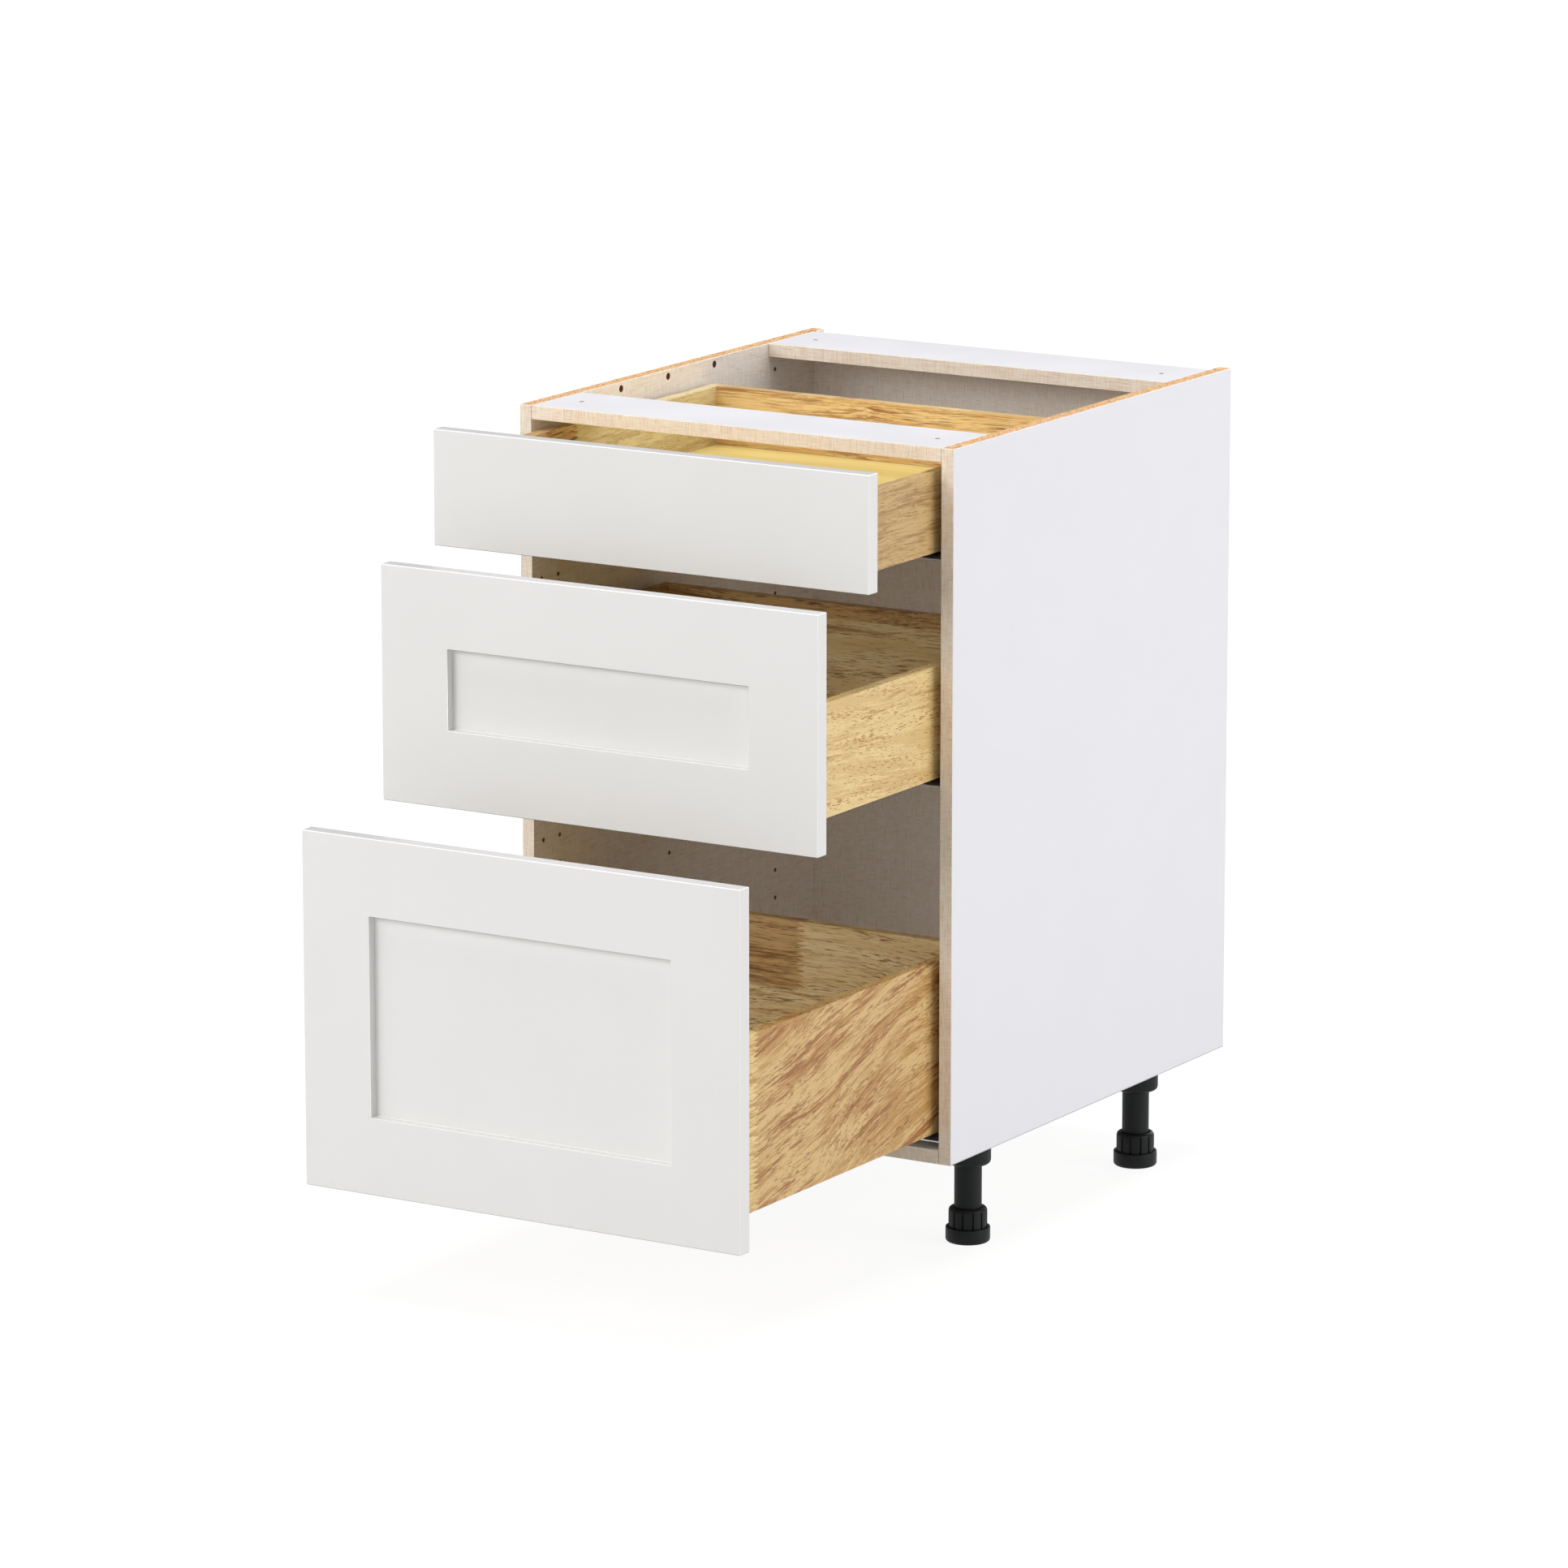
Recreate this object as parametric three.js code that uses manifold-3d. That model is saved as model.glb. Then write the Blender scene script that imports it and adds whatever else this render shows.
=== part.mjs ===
// Base cabinet with three drawers: a frameless carcass on four adjustable legs, and wooden drawer
// boxes that hang on full-extension runners under their bottoms. Millimetres, +Z up, front at -Y.
// The drawers stand part open. The origin is on the floor, below the middle of the whole outline.
import * as THREE from 'three';
import { mergeVertices } from 'three/addons/utils/BufferGeometryUtils.js';
import Module from 'manifold-3d';

const wasm = await Module();
wasm.setup();

// ---- Driving dimensions ------------------------------------------------------------------

// Carcass boards
const carcassWidth = 533.4;
const carcassDepth = 600;
const boardThickness = 15;
const stretcherWidth = 98.5;
const stretcherHoleRadius = 3;
const stretcherHoleFromSide = 32.5;
const stretcherHoleFromFront = 48;
const backThickness = 5;
const backRecess = 16;
const backTopDrop = 2;
const backGrooveDepth = 6;

// Blind holes in the side panels: a row at stretcher height, and the runner screw holes
const fittingHoleRadius = 4;
const fittingHoleStart = 177;
const fittingHolePitch = 95.2;
const fittingHoleCount = 3;
const runnerHoleRadius = 2.5;
const holeDepth = 11;

// Drawer fronts
const frontThickness = 18;
const frontReveal = 1.6;
const frontStandOff = 1.5;
const frameWidth = 82.5;
const recessDepth = 10;
const frontPanelThickness = 6;
const frontPanelLip = 8;

// Drawer boxes
const boxLength = 500;
const boxWall = 12.7;
const boxSideGap = 8.3;
const boxBottomThickness = 6.4;
const boxBottomRise = 14.2;
const boxGrooveDepth = 6;
const runnerNotchWidth = 25;

// Runners
const runnerSheet = 1.5;
const runnerSetback = 3;
const runnerLength = 495;
const runnerDrop = 8;
const runnerFlangeHeight = 34;
const runnerLipHeight = 14;
const runnerInnerReach = 44;
const middleRailWidth = 14;
const drawerRailWidth = 19.4;
const drawerRailDepth = 17;

// Legs
const legHeight = 114.3;
const legFromSide = 45.4;
const frontLegInset = 115;
const rearLegInset = 117.5;
const socketRadius = 24.4;
const socketHeight = 28.8;
const socketRoof = 6;
const socketRounding = 5;
const tubeRadius = 14.75;
const tubeWall = 3;
const tubeEndAboveFloor = 18.3;
const nutHeight = 12;
const collarRadius = 20.7;
const collarHeight = 34.7;
const collarShoulder = 4.3;
const collarFloor = 3;
const ribCount = 12;
const ribGrooveDepth = 1.1;
const ribGrooveShare = 0.3; // of the pitch from rib to rib
const ribGrooveFloorShare = 0.5; // of the groove
const collarRim = 1.4;
const stemRadius = 6;
const stemHeight = 45;
const footRadius = 23.9;
const footHeight = 16.5;
const footFloor = 3;
const footRounding = 3.5;

// Drawer modules: each is a whole number of the smallest one high. The rise is from a module's
// lower line to its box, and the headroom is from the box to the module's upper line.
const moduleHeight = 127;
const boxRise = 30.4;
const topBoxRise = 16;
const bottomHeadroom = 164.6;
const middleHeadroom = 103.6;
const topHeadroom = 26;
const bottomOpened = 397;
const middleOpened = 248;
const topOpened = 148;

// Runner screw holes: how far behind the carcass front their columns are
const frontColumn = 18;
const secondColumn = 50.3;
const middleColumn = 271.4;
const rearColumn = 495;

// One entry for each drawer, from the bottom up; screwHoles are [column, over the lower line].
const drawers = [
  {
    name: 'bottom', module: 3 * moduleHeight, rise: boxRise, headroom: bottomHeadroom,
    opened: bottomOpened, framed: true,
    screwHoles: [[frontColumn, 286], [secondColumn, 286], [secondColumn, 256],
      [middleColumn, 223], [rearColumn, 159.5], [rearColumn, 127.6]],
  },
  {
    name: 'middle', module: 2 * moduleHeight, rise: boxRise, headroom: middleHeadroom,
    opened: middleOpened, framed: true,
    screwHoles: [[frontColumn, 191], [secondColumn, 191], [rearColumn, 96]],
  },
  {
    name: 'top', module: moduleHeight, rise: topBoxRise, headroom: topHeadroom,
    opened: topOpened, framed: false,
    screwHoles: [[rearColumn, 96]],
  },
];

// Clearances
const fit = 0.3; // between a piece and the seat, groove or rail that holds it
const overshoot = 5; // how far a cutter runs past the face it enters by

const roundSegments = 24;
const holeSegments = 12;
const roundingSteps = 3;

// ---- Sizes worked out from them ----------------------------------------------------------

const carcassHeight = drawers.reduce((sum, drawer) => sum + drawer.module, 0);
const innerHalf = carcassWidth / 2 - boardThickness;
const backFront = carcassDepth - backRecess - backThickness;
const boxHalf = innerHalf - boxSideGap;
const boxInnerHalf = boxHalf - boxWall;
const frontHalf = carcassWidth / 2 - frontReveal;
const farthestOpened = Math.max(...drawers.map((drawer) => drawer.opened));
const outlineFront = -(farthestOpened + frontStandOff + frontThickness);
const outlineMiddle = (outlineFront + carcassDepth) / 2;

// ---- Materials ---------------------------------------------------------------------------

const paint = (color, roughness, metalness = 0) =>
  new THREE.MeshStandardMaterial({ color, roughness, metalness });

const materials = {
  panel: paint(0xe5e5eb, 0.45),
  lining: paint(0xd9c8b4, 0.6),
  front: paint(0xe8e7e5, 0.4),
  boxWood: paint(0xcba46b, 0.55),
  boxBottom: paint(0xe8d782, 0.5),
  rail: paint(0x8a8d8f, 0.35, 0.9),
  plastic: paint(0x26282a, 0.5),
};

// ---- Geometry helpers --------------------------------------------------------------------

/** A closed three.js geometry as a solid that can be joined and cut. */
function toSolid(geometry) {
  const plain = geometry.clone();
  plain.deleteAttribute('normal');
  plain.deleteAttribute('uv');
  const welded = mergeVertices(plain, 1e-5);
  return new wasm.Manifold(new wasm.Mesh({
    numProp: 3,
    vertProperties: new Float32Array(welded.attributes.position.array),
    triVerts: new Uint32Array(welded.index.array),
  }));
}

/** The solid's surface as a three.js geometry. */
function toGeometry(solid) {
  const { vertProperties, triVerts } = solid.getMesh();
  const geometry = new THREE.BufferGeometry();
  geometry.setAttribute('position', new THREE.BufferAttribute(new Float32Array(vertProperties), 3));
  geometry.setIndex(new THREE.BufferAttribute(new Uint32Array(triVerts), 1));
  geometry.computeVertexNormals();
  return geometry;
}

/** A box between two values on each axis, given in either order. */
function boxBetween([x0, x1], [y0, y1], [z0, z1]) {
  const size = [Math.abs(x1 - x0), Math.abs(y1 - y0), Math.abs(z1 - z0)];
  const geometry = new THREE.BoxGeometry(...size);
  return geometry.translate((x0 + x1) / 2, (y0 + y1) / 2, (z0 + z1) / 2);
}

/** A round pin along X from x0 to x1, used to drill a side panel. */
function pinAlongX([x0, x1], y, z, radius) {
  const geometry = new THREE.CylinderGeometry(radius, radius, Math.abs(x1 - x0), holeSegments);
  return geometry.rotateZ(Math.PI / 2).translate((x0 + x1) / 2, y, z);
}

/** A round pin along Z from z0 to z1, used to drill a stretcher. */
function pinAlongZ(x, y, [z0, z1], radius) {
  const geometry = new THREE.CylinderGeometry(radius, radius, z1 - z0, holeSegments);
  return geometry.rotateX(Math.PI / 2).translate(x, y, (z0 + z1) / 2);
}

/** A closed [radius, height] outline turned about Z. */
function turned(outline) {
  const points = outline.map(([radius, height]) => new THREE.Vector2(radius, height));
  points.push(points[0].clone());
  return toSolid(new THREE.LatheGeometry(points, roundSegments).rotateX(Math.PI / 2));
}

/** An [x, z] outline drawn out along Y from 0 to length. */
function alongY(outline, length) {
  const shape = new THREE.Shape(outline.map(([x, z]) => new THREE.Vector2(x, z)));
  const geometry = new THREE.ExtrudeGeometry(shape, { depth: length, bevelEnabled: false });
  return geometry.rotateX(Math.PI / 2).translate(0, length, 0);
}

/** A quarter round from straight down to straight out, as [radius, height] points. */
function lowerRounding(outerRadius, bottom, rounding) {
  return Array.from({ length: roundingSteps + 1 }, (_, step) => {
    const angle = (step / roundingSteps) * (Math.PI / 2);
    return [
      outerRadius - rounding + rounding * Math.sin(angle),
      bottom + rounding - rounding * Math.cos(angle),
    ];
  });
}

/** Adds a mesh to a group at a place in that group. */
function place(group, name, geometry, material, position = [0, 0, 0]) {
  const mesh = new THREE.Mesh(geometry, material);
  mesh.name = name;
  mesh.position.set(...position);
  group.add(mesh);
  return mesh;
}

/** Adds a flat board between two values on each axis, with cutters given in the group's frame. */
function board(group, name, material, xs, ys, zs, cutters = []) {
  const middle = [xs, ys, zs].map(([a, b]) => (a + b) / 2);
  const toBoard = middle.map((value) => -value);
  let geometry = boxBetween(xs, ys, zs).translate(...toBoard);
  if (cutters.length > 0) {
    const cut = cutters.reduce(
      (solid, cutter) => solid.subtract(toSolid(cutter.translate(...toBoard))),
      toSolid(geometry),
    );
    geometry = toGeometry(cut);
  }
  return place(group, name, geometry, material, middle);
}

// ---- Carcass -----------------------------------------------------------------------------
// The carcass frame has z = 0 under the bottom panel and y = 0 at the panels' front edges.

const moduleFloors = [];
drawers.reduce((floor, drawer) => {
  moduleFloors.push(floor);
  return floor + drawer.module;
}, 0);

const backGroove = [backFront - fit, backFront + backThickness + fit];

/** Drills and grooves of one side panel; side is -1 on the left and 1 on the right. */
function sidePanelCutters(side) {
  const face = side * innerHalf;
  const drill = [face - side * overshoot, face + side * holeDepth];
  const groove = [face - side * overshoot, face + side * backGrooveDepth];
  const grooveHeight = [boardThickness - backGrooveDepth, carcassHeight + overshoot];
  const cutters = [boxBetween(groove, backGroove, grooveHeight)];
  for (let i = 0; i < fittingHoleCount; i += 1) {
    const y = fittingHoleStart + i * fittingHolePitch;
    cutters.push(pinAlongX(drill, y, carcassHeight - boardThickness / 2, fittingHoleRadius));
  }
  drawers.forEach((drawer, i) => drawer.screwHoles.forEach(([y, rise]) => {
    cutters.push(pinAlongX(drill, y, moduleFloors[i] + rise, runnerHoleRadius));
  }));
  return cutters;
}

function addStretcher(group, name, front) {
  const top = [carcassHeight - boardThickness, carcassHeight];
  const drill = [top[0] - overshoot, top[1] + overshoot];
  const holes = [-1, 1].map((side) => pinAlongZ(
    side * (innerHalf - stretcherHoleFromSide), front + stretcherHoleFromFront, drill, stretcherHoleRadius,
  ));
  const depth = [front, front + stretcherWidth];
  board(group, name, materials.panel, [-innerHalf, innerHalf], depth, top, holes);
}

function buildCarcass() {
  const group = new THREE.Group();
  const fullDepth = [0, carcassDepth];
  const inside = [-innerHalf, innerHalf];
  for (const [name, side] of [['left', -1], ['right', 1]]) {
    const across = [side * innerHalf, side * (innerHalf + boardThickness)];
    board(group, `${name}_side_panel`, materials.panel, across, fullDepth, [0, carcassHeight],
      sidePanelCutters(side));
  }
  const bottomGroove = boxBetween([-innerHalf - overshoot, innerHalf + overshoot], backGroove,
    [boardThickness - backGrooveDepth, boardThickness + overshoot]);
  board(group, 'bottom_panel', materials.lining, inside, fullDepth, [0, boardThickness], [bottomGroove]);
  const backHalf = innerHalf + backGrooveDepth - fit;
  board(group, 'back_panel', materials.lining, [-backHalf, backHalf],
    [backFront, backFront + backThickness],
    [boardThickness - backGrooveDepth + fit, carcassHeight - backTopDrop]);
  addStretcher(group, 'front_stretcher', 0);
  addStretcher(group, 'rear_stretcher', backFront - stretcherWidth);
  return group;
}

// ---- Runners -----------------------------------------------------------------------------
// Each runner is three steel rails. Outlines are [in from the panel's inner face, up from the
// lower edge of the drawer side], and flip sides with the panel they hang on.

const baseTop = -runnerDrop + runnerSheet;
const railMiddle = boxSideGap + boxWall
  + (runnerInnerReach - runnerSheet - boxSideGap - boxWall) / 2;

const cabinetRailOutline = [
  [0, -runnerDrop], [runnerInnerReach - runnerSheet, -runnerDrop],
  [runnerInnerReach - runnerSheet, baseTop], [runnerSheet, baseTop],
  [runnerSheet, runnerFlangeHeight - runnerDrop], [0, runnerFlangeHeight - runnerDrop],
];
const cabinetLipOutline = [
  [runnerInnerReach - runnerSheet, -runnerDrop], [runnerInnerReach, -runnerDrop],
  [runnerInnerReach, runnerLipHeight - runnerDrop],
  [runnerInnerReach - runnerSheet, runnerLipHeight - runnerDrop],
];
const drawerRailTop = boxBottomRise - fit;

/** A channel's outline, open at the top for facing 1 and at the bottom for facing -1. */
function channelOutline(width, closedEnd, openEnd, facing) {
  const [left, right] = [railMiddle - width / 2, railMiddle + width / 2];
  const web = closedEnd + facing * runnerSheet;
  return [
    [left, closedEnd], [right, closedEnd], [right, openEnd], [right - runnerSheet, openEnd],
    [right - runnerSheet, web], [left + runnerSheet, web], [left + runnerSheet, openEnd],
    [left, openEnd],
  ];
}

const middleRailOutline = channelOutline(
  middleRailWidth, baseTop + fit, drawerRailTop - runnerSheet - fit, 1,
);
const drawerRailOutline = channelOutline(
  drawerRailWidth, drawerRailTop, drawerRailTop - drawerRailDepth, -1,
);

// The rails that stand up inside the drawer's recess start behind its front board.
const behindBoxFront = boxWall + fit;
const innerRailStart = behindBoxFront - frontStandOff + fit;
const innerRailLength = runnerSetback + runnerLength - innerRailStart;

/** A rail's solid shape, from an outline measured inwards from the panel on that side. */
function railAlongY(outline, side, length) {
  return alongY(outline.map(([inward, up]) => [-side * inward, up]), length);
}

function addRail(group, name, outline, side, length, start, z) {
  place(group, name, railAlongY(outline, side, length), materials.rail,
    [side * innerHalf, start, z]);
}

/** The fixed rail; its inner lip starts further back than its base, behind the box front. */
function addCabinetRail(group, name, side, z) {
  const body = toSolid(railAlongY(cabinetRailOutline, side, runnerLength));
  const lipSetback = innerRailStart - runnerSetback;
  const lip = railAlongY(cabinetLipOutline, side, innerRailLength).translate(0, lipSetback, 0);
  place(group, name, toGeometry(body.add(toSolid(lip))), materials.rail,
    [side * innerHalf, runnerSetback, z]);
}

// ---- Drawers -----------------------------------------------------------------------------
// A drawer's frame is the carcass frame with that drawer shut, so its group slides along -Y.

function addFlatFront(group, name, xs, ys, zs) {
  board(group, `${name}_front`, materials.front, xs, ys, zs);
}

function addFramedFront(group, name, xs, ys, zs) {
  const inset = ([low, high], by) => [low + by, high - by];
  const [openX, openZ] = [inset(xs, frameWidth), inset(zs, frameWidth)];
  const [rebateX, rebateZ] = [inset(openX, -frontPanelLip), inset(openZ, -frontPanelLip)];
  const face = ys[0];
  board(group, `${name}_front_frame`, materials.front, xs, ys, zs, [
    boxBetween(openX, inset(ys, -overshoot), openZ),
    boxBetween(rebateX, [face + recessDepth - fit, ys[1] + overshoot], rebateZ),
  ]);
  board(group, `${name}_front_panel`, materials.front, inset(rebateX, fit),
    [face + recessDepth, face + recessDepth + frontPanelThickness], inset(rebateZ, fit));
}

function addBox(group, name, front, lower, height) {
  const ys = [front, front + boxLength];
  const zs = [lower, lower + height];
  const inside = [-boxInnerHalf, boxInnerHalf];
  const insideDepth = [front + boxWall, front + boxLength - boxWall];
  const bottomZ = [lower + boxBottomRise, lower + boxBottomRise + boxBottomThickness];
  const grooveZ = [bottomZ[0] - fit, bottomZ[1] + fit];
  const grooved = [boxInnerHalf + boxGrooveDepth, insideDepth[0] - boxGrooveDepth,
    insideDepth[1] + boxGrooveDepth];
  const groove = () => boxBetween([-grooved[0], grooved[0]], [grooved[1], grooved[2]], grooveZ);

  for (const [side, sign] of [['left', -1], ['right', 1]]) {
    board(group, `${name}_box_${side}`, materials.boxWood,
      [sign * boxInnerHalf, sign * boxHalf], ys, zs, [groove()]);
  }
  board(group, `${name}_box_front`, materials.boxWood, inside, [ys[0], insideDepth[0]], zs,
    [groove()]);
  const notches = [-1, 1].map((sign) => boxBetween(
    [sign * (boxInnerHalf - runnerNotchWidth), sign * (boxInnerHalf + overshoot)],
    [insideDepth[1] - overshoot, ys[1] + overshoot], [zs[0] - overshoot, bottomZ[0]],
  ));
  board(group, `${name}_box_rear`, materials.boxWood, inside, [insideDepth[1], ys[1]], zs,
    [groove(), ...notches]);
  board(group, `${name}_box_bottom`, materials.boxBottom,
    [-grooved[0] + fit, grooved[0] - fit], [grooved[1] + fit, grooved[2] - fit], bottomZ);
}

/** One drawer with its runners; the parts that stay, that follow and that open are three groups. */
function addDrawer(cabinet, drawer, moduleFloor) {
  const lower = moduleFloor + drawer.rise;
  const boxHeight = drawer.module - drawer.rise - drawer.headroom;
  const followers = new THREE.Group();
  const opening = new THREE.Group();
  followers.position.y = -drawer.opened / 2;
  opening.position.y = -drawer.opened;
  cabinet.add(followers, opening);

  const frontXs = [-frontHalf, frontHalf];
  const frontYs = [-frontStandOff - frontThickness, -frontStandOff];
  const frontZs = [moduleFloor + frontReveal, moduleFloor + drawer.module - frontReveal];
  const addFront = drawer.framed ? addFramedFront : addFlatFront;
  addFront(opening, drawer.name, frontXs, frontYs, frontZs);
  addBox(opening, drawer.name, -frontStandOff, lower, boxHeight);

  const drawerRailStart = behindBoxFront - frontStandOff;
  for (const [side, sign] of [['left', -1], ['right', 1]]) {
    addCabinetRail(cabinet, `${drawer.name}_${side}_cabinet_rail`, sign, lower);
    addRail(followers, `${drawer.name}_${side}_middle_rail`, middleRailOutline, sign,
      innerRailLength, innerRailStart, lower);
    addRail(opening, `${drawer.name}_${side}_drawer_rail`, drawerRailOutline, sign,
      boxLength - behindBoxFront, drawerRailStart, lower);
  }
}

// ---- Legs --------------------------------------------------------------------------------
// A leg's frame has its axis on Z and z = 0 under the bottom panel, so the floor is at -legHeight.

const floorZ = -legHeight;
const tubeTop = -socketRoof - fit;
const tubeEnd = floorZ + tubeEndAboveFloor;
const wellFloor = floorZ + footFloor;
const adjusterBottom = wellFloor + fit;
const collarTop = adjusterBottom + collarHeight;

function socketSolid() {
  const bore = tubeRadius + fit;
  return turned([
    [0, -socketRoof], [bore, -socketRoof], [bore, -socketHeight],
    ...lowerRounding(socketRadius, -socketHeight, socketRounding),
    [socketRadius, 0], [0, 0],
  ]);
}

function tubeSolid() {
  const inner = tubeRadius - tubeWall;
  const nutBore = stemRadius + fit;
  return turned([
    [nutBore, tubeEnd], [tubeRadius, tubeEnd], [tubeRadius, tubeTop], [inner, tubeTop],
    [inner, tubeEnd + nutHeight], [nutBore, tubeEnd + nutHeight],
  ]);
}

/** The ribbed collar's plan: flat ribs with a narrow groove between each two. */
function ribbedOutline() {
  const pitch = (2 * Math.PI) / ribCount;
  const groove = pitch * ribGrooveShare;
  const slope = groove * (1 - ribGrooveFloorShare) / 2;
  const root = collarRadius - ribGrooveDepth;
  return Array.from({ length: ribCount }, (_, rib) => {
    const start = rib * pitch;
    const marks = [[collarRadius, 0], [collarRadius, (pitch - groove) / 2],
      [collarRadius, pitch - groove], [root, pitch - groove + slope], [root, pitch - slope]];
    return marks.map(([radius, turn]) => new THREE.Vector2(
      radius * Math.cos(start + turn), radius * Math.sin(start + turn),
    ));
  }).flat();
}

/** Ribbed collar around the tube, closed below, with the threaded stem rising in the tube. */
function adjusterSolid() {
  const collar = toSolid(new THREE.ExtrudeGeometry(new THREE.Shape(ribbedOutline()),
    { depth: collarHeight, bevelEnabled: false }).translate(0, 0, adjusterBottom));
  const bore = tubeRadius + fit;
  const rim = bore + collarRim;
  const shoulder = turned([
    [0, adjusterBottom], [collarRadius + fit, adjusterBottom],
    [collarRadius + fit, collarTop - collarShoulder], [rim, collarTop], [0, collarTop],
  ]);
  const pocket = turned([
    [0, adjusterBottom + collarFloor], [bore, adjusterBottom + collarFloor],
    [bore, collarTop + overshoot], [0, collarTop + overshoot],
  ]);
  const stem = turned([
    [0, adjusterBottom], [stemRadius, adjusterBottom],
    [stemRadius, adjusterBottom + stemHeight], [0, adjusterBottom + stemHeight],
  ]);
  return collar.intersect(shoulder).subtract(pocket).add(stem);
}

function footSolid() {
  const well = collarRadius + fit;
  return turned([
    [0, floorZ], ...lowerRounding(footRadius, floorZ, footRounding),
    [footRadius, floorZ + footHeight], [well, floorZ + footHeight], [well, wellFloor],
    [0, wellFloor],
  ]);
}

const legParts = [
  ['socket', toGeometry(socketSolid())],
  ['tube', toGeometry(tubeSolid())],
  ['adjuster', toGeometry(adjusterSolid())],
  ['foot', toGeometry(footSolid())],
];

function buildLeg(name, x, y) {
  const group = new THREE.Group();
  group.position.set(x, y, 0);
  for (const [part, geometry] of legParts) {
    place(group, `${name}_${part}`, geometry.clone(), materials.plastic);
  }
  return group;
}

// ---- Assembly ----------------------------------------------------------------------------

const cabinet = new THREE.Group();
cabinet.position.set(0, -outlineMiddle, legHeight);
cabinet.add(buildCarcass());
drawers.forEach((drawer, i) => addDrawer(cabinet, drawer, moduleFloors[i]));

const legX = carcassWidth / 2 - legFromSide;
for (const [end, y] of [['front', frontLegInset], ['rear', carcassDepth - rearLegInset]]) {
  cabinet.add(buildLeg(`${end}_left`, -legX, y), buildLeg(`${end}_right`, legX, y));
}

const group = new THREE.Group();
group.add(cabinet);

export default group;
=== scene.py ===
"""Looks of a frameless kitchen base cabinet with three drawers, on adjustable legs.

The construction is loaded first, as a fixed frame of named pieces. This script models the fine
surface of each piece around that frame, gives every surface its finish, and sets up a plain
studio. Metres, +Z up, the drawer fronts at -Y.
"""

import logging
import math
from abc import ABC, abstractmethod
from collections.abc import Callable, Iterator
from contextlib import contextmanager
from dataclasses import dataclass, replace
from enum import Enum
from typing import Any, ClassVar

import bmesh
import bpy
from mathutils import Euler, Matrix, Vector


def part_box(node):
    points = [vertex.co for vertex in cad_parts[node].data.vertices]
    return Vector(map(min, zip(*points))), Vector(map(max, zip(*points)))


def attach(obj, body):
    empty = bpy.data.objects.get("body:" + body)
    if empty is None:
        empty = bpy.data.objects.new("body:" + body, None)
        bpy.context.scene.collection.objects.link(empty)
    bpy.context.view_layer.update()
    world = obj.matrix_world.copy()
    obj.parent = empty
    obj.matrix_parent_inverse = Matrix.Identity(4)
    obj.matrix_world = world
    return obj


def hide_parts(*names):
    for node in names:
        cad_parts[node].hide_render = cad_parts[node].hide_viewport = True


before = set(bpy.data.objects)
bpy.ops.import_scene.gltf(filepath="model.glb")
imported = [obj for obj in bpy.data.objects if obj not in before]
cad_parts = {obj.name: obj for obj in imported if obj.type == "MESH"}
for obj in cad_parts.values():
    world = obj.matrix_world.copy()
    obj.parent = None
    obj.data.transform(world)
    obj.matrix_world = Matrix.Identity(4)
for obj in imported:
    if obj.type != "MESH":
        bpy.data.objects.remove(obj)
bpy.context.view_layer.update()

log = logging.getLogger("cabinet")

Colour = tuple[float, float, float]
Triple = tuple[float, float, float]
Piece = bpy.types.Object
Socket = bpy.types.NodeSocket

MM = 0.001
ROD_SIDES = 20

# Places that are this near each other count as the same one.
TOUCH = 0.01 * MM

# How much of an axis the normal of a face has, at least, where the face is square to the axis, is
# square to it or the chamfer of such a face, faces it, and only leans towards it.
SQUARE = 0.95
CHAMFERED = 0.6
FACING = 0.5
LEANING = 0.3

# The angle between two faces from which they make a fold, in radians.
FOLD = 0.5

# The sharpest edges that are shaded smooth, in degrees: on sheet, and on a rounded board.
SOFT_EDGE = 35
ROUNDED_EDGE = 75


def srgb(red: int, green: int, blue: int) -> Colour:
    """A colour as a screen writes it, turned into the linear values that shaders take.

    Args:
        red: Red, 0 to 255.
        green: Green, 0 to 255.
        blue: Blue, 0 to 255.

    Returns:
        The linear red, green and blue, 0 to 1.
    """
    def linear(value: int) -> float:
        """One channel's linear value."""
        share = value / 255
        return share / 12.92 if share <= 0.04045 else ((share + 0.055) / 1.055) ** 2.4

    return linear(red), linear(green), linear(blue)


def darker(colour: Colour, share: float) -> Colour:
    """A colour with a share of its light."""
    red, green, blue = colour
    return red * share, green * share, blue * share


# ---- The bench: modelling by hand --------------------------------------------------------


class Pick(Enum):
    """What is selected in edit mode."""

    EDGES = "EDGE"
    FACES = "FACE"


class Axis(Enum):
    """An axis of the frame, by its place in a point."""

    X = 0
    Y = 1
    Z = 2


PlaceTest = Callable[[Vector], bool]
FaceTest = Callable[[Vector, Vector], bool]
EdgeTest = Callable[[Vector, Vector], bool]


def deselect_all() -> None:
    """Leaves nothing selected and no active object."""
    for other in bpy.context.selected_objects:
        other.select_set(False)
    bpy.context.view_layer.objects.active = None


def take_up(piece: Piece) -> None:
    """Makes a piece the only selected object, and the active one.

    Args:
        piece: The piece.
    """
    deselect_all()
    piece.select_set(True)
    bpy.context.view_layer.objects.active = piece


@contextmanager
def editing(piece: Piece, pick: Pick) -> Iterator[None]:
    """Opens a piece in edit mode with nothing selected, and closes it again.

    Args:
        piece: The piece to edit.
        pick: Whether edges or faces are selected.
    """
    take_up(piece)
    bpy.ops.object.mode_set(mode="EDIT")
    bpy.ops.mesh.select_mode(type=pick.value)
    bpy.ops.mesh.select_all(action="DESELECT")
    yield
    bpy.ops.object.mode_set(mode="OBJECT")


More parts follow.
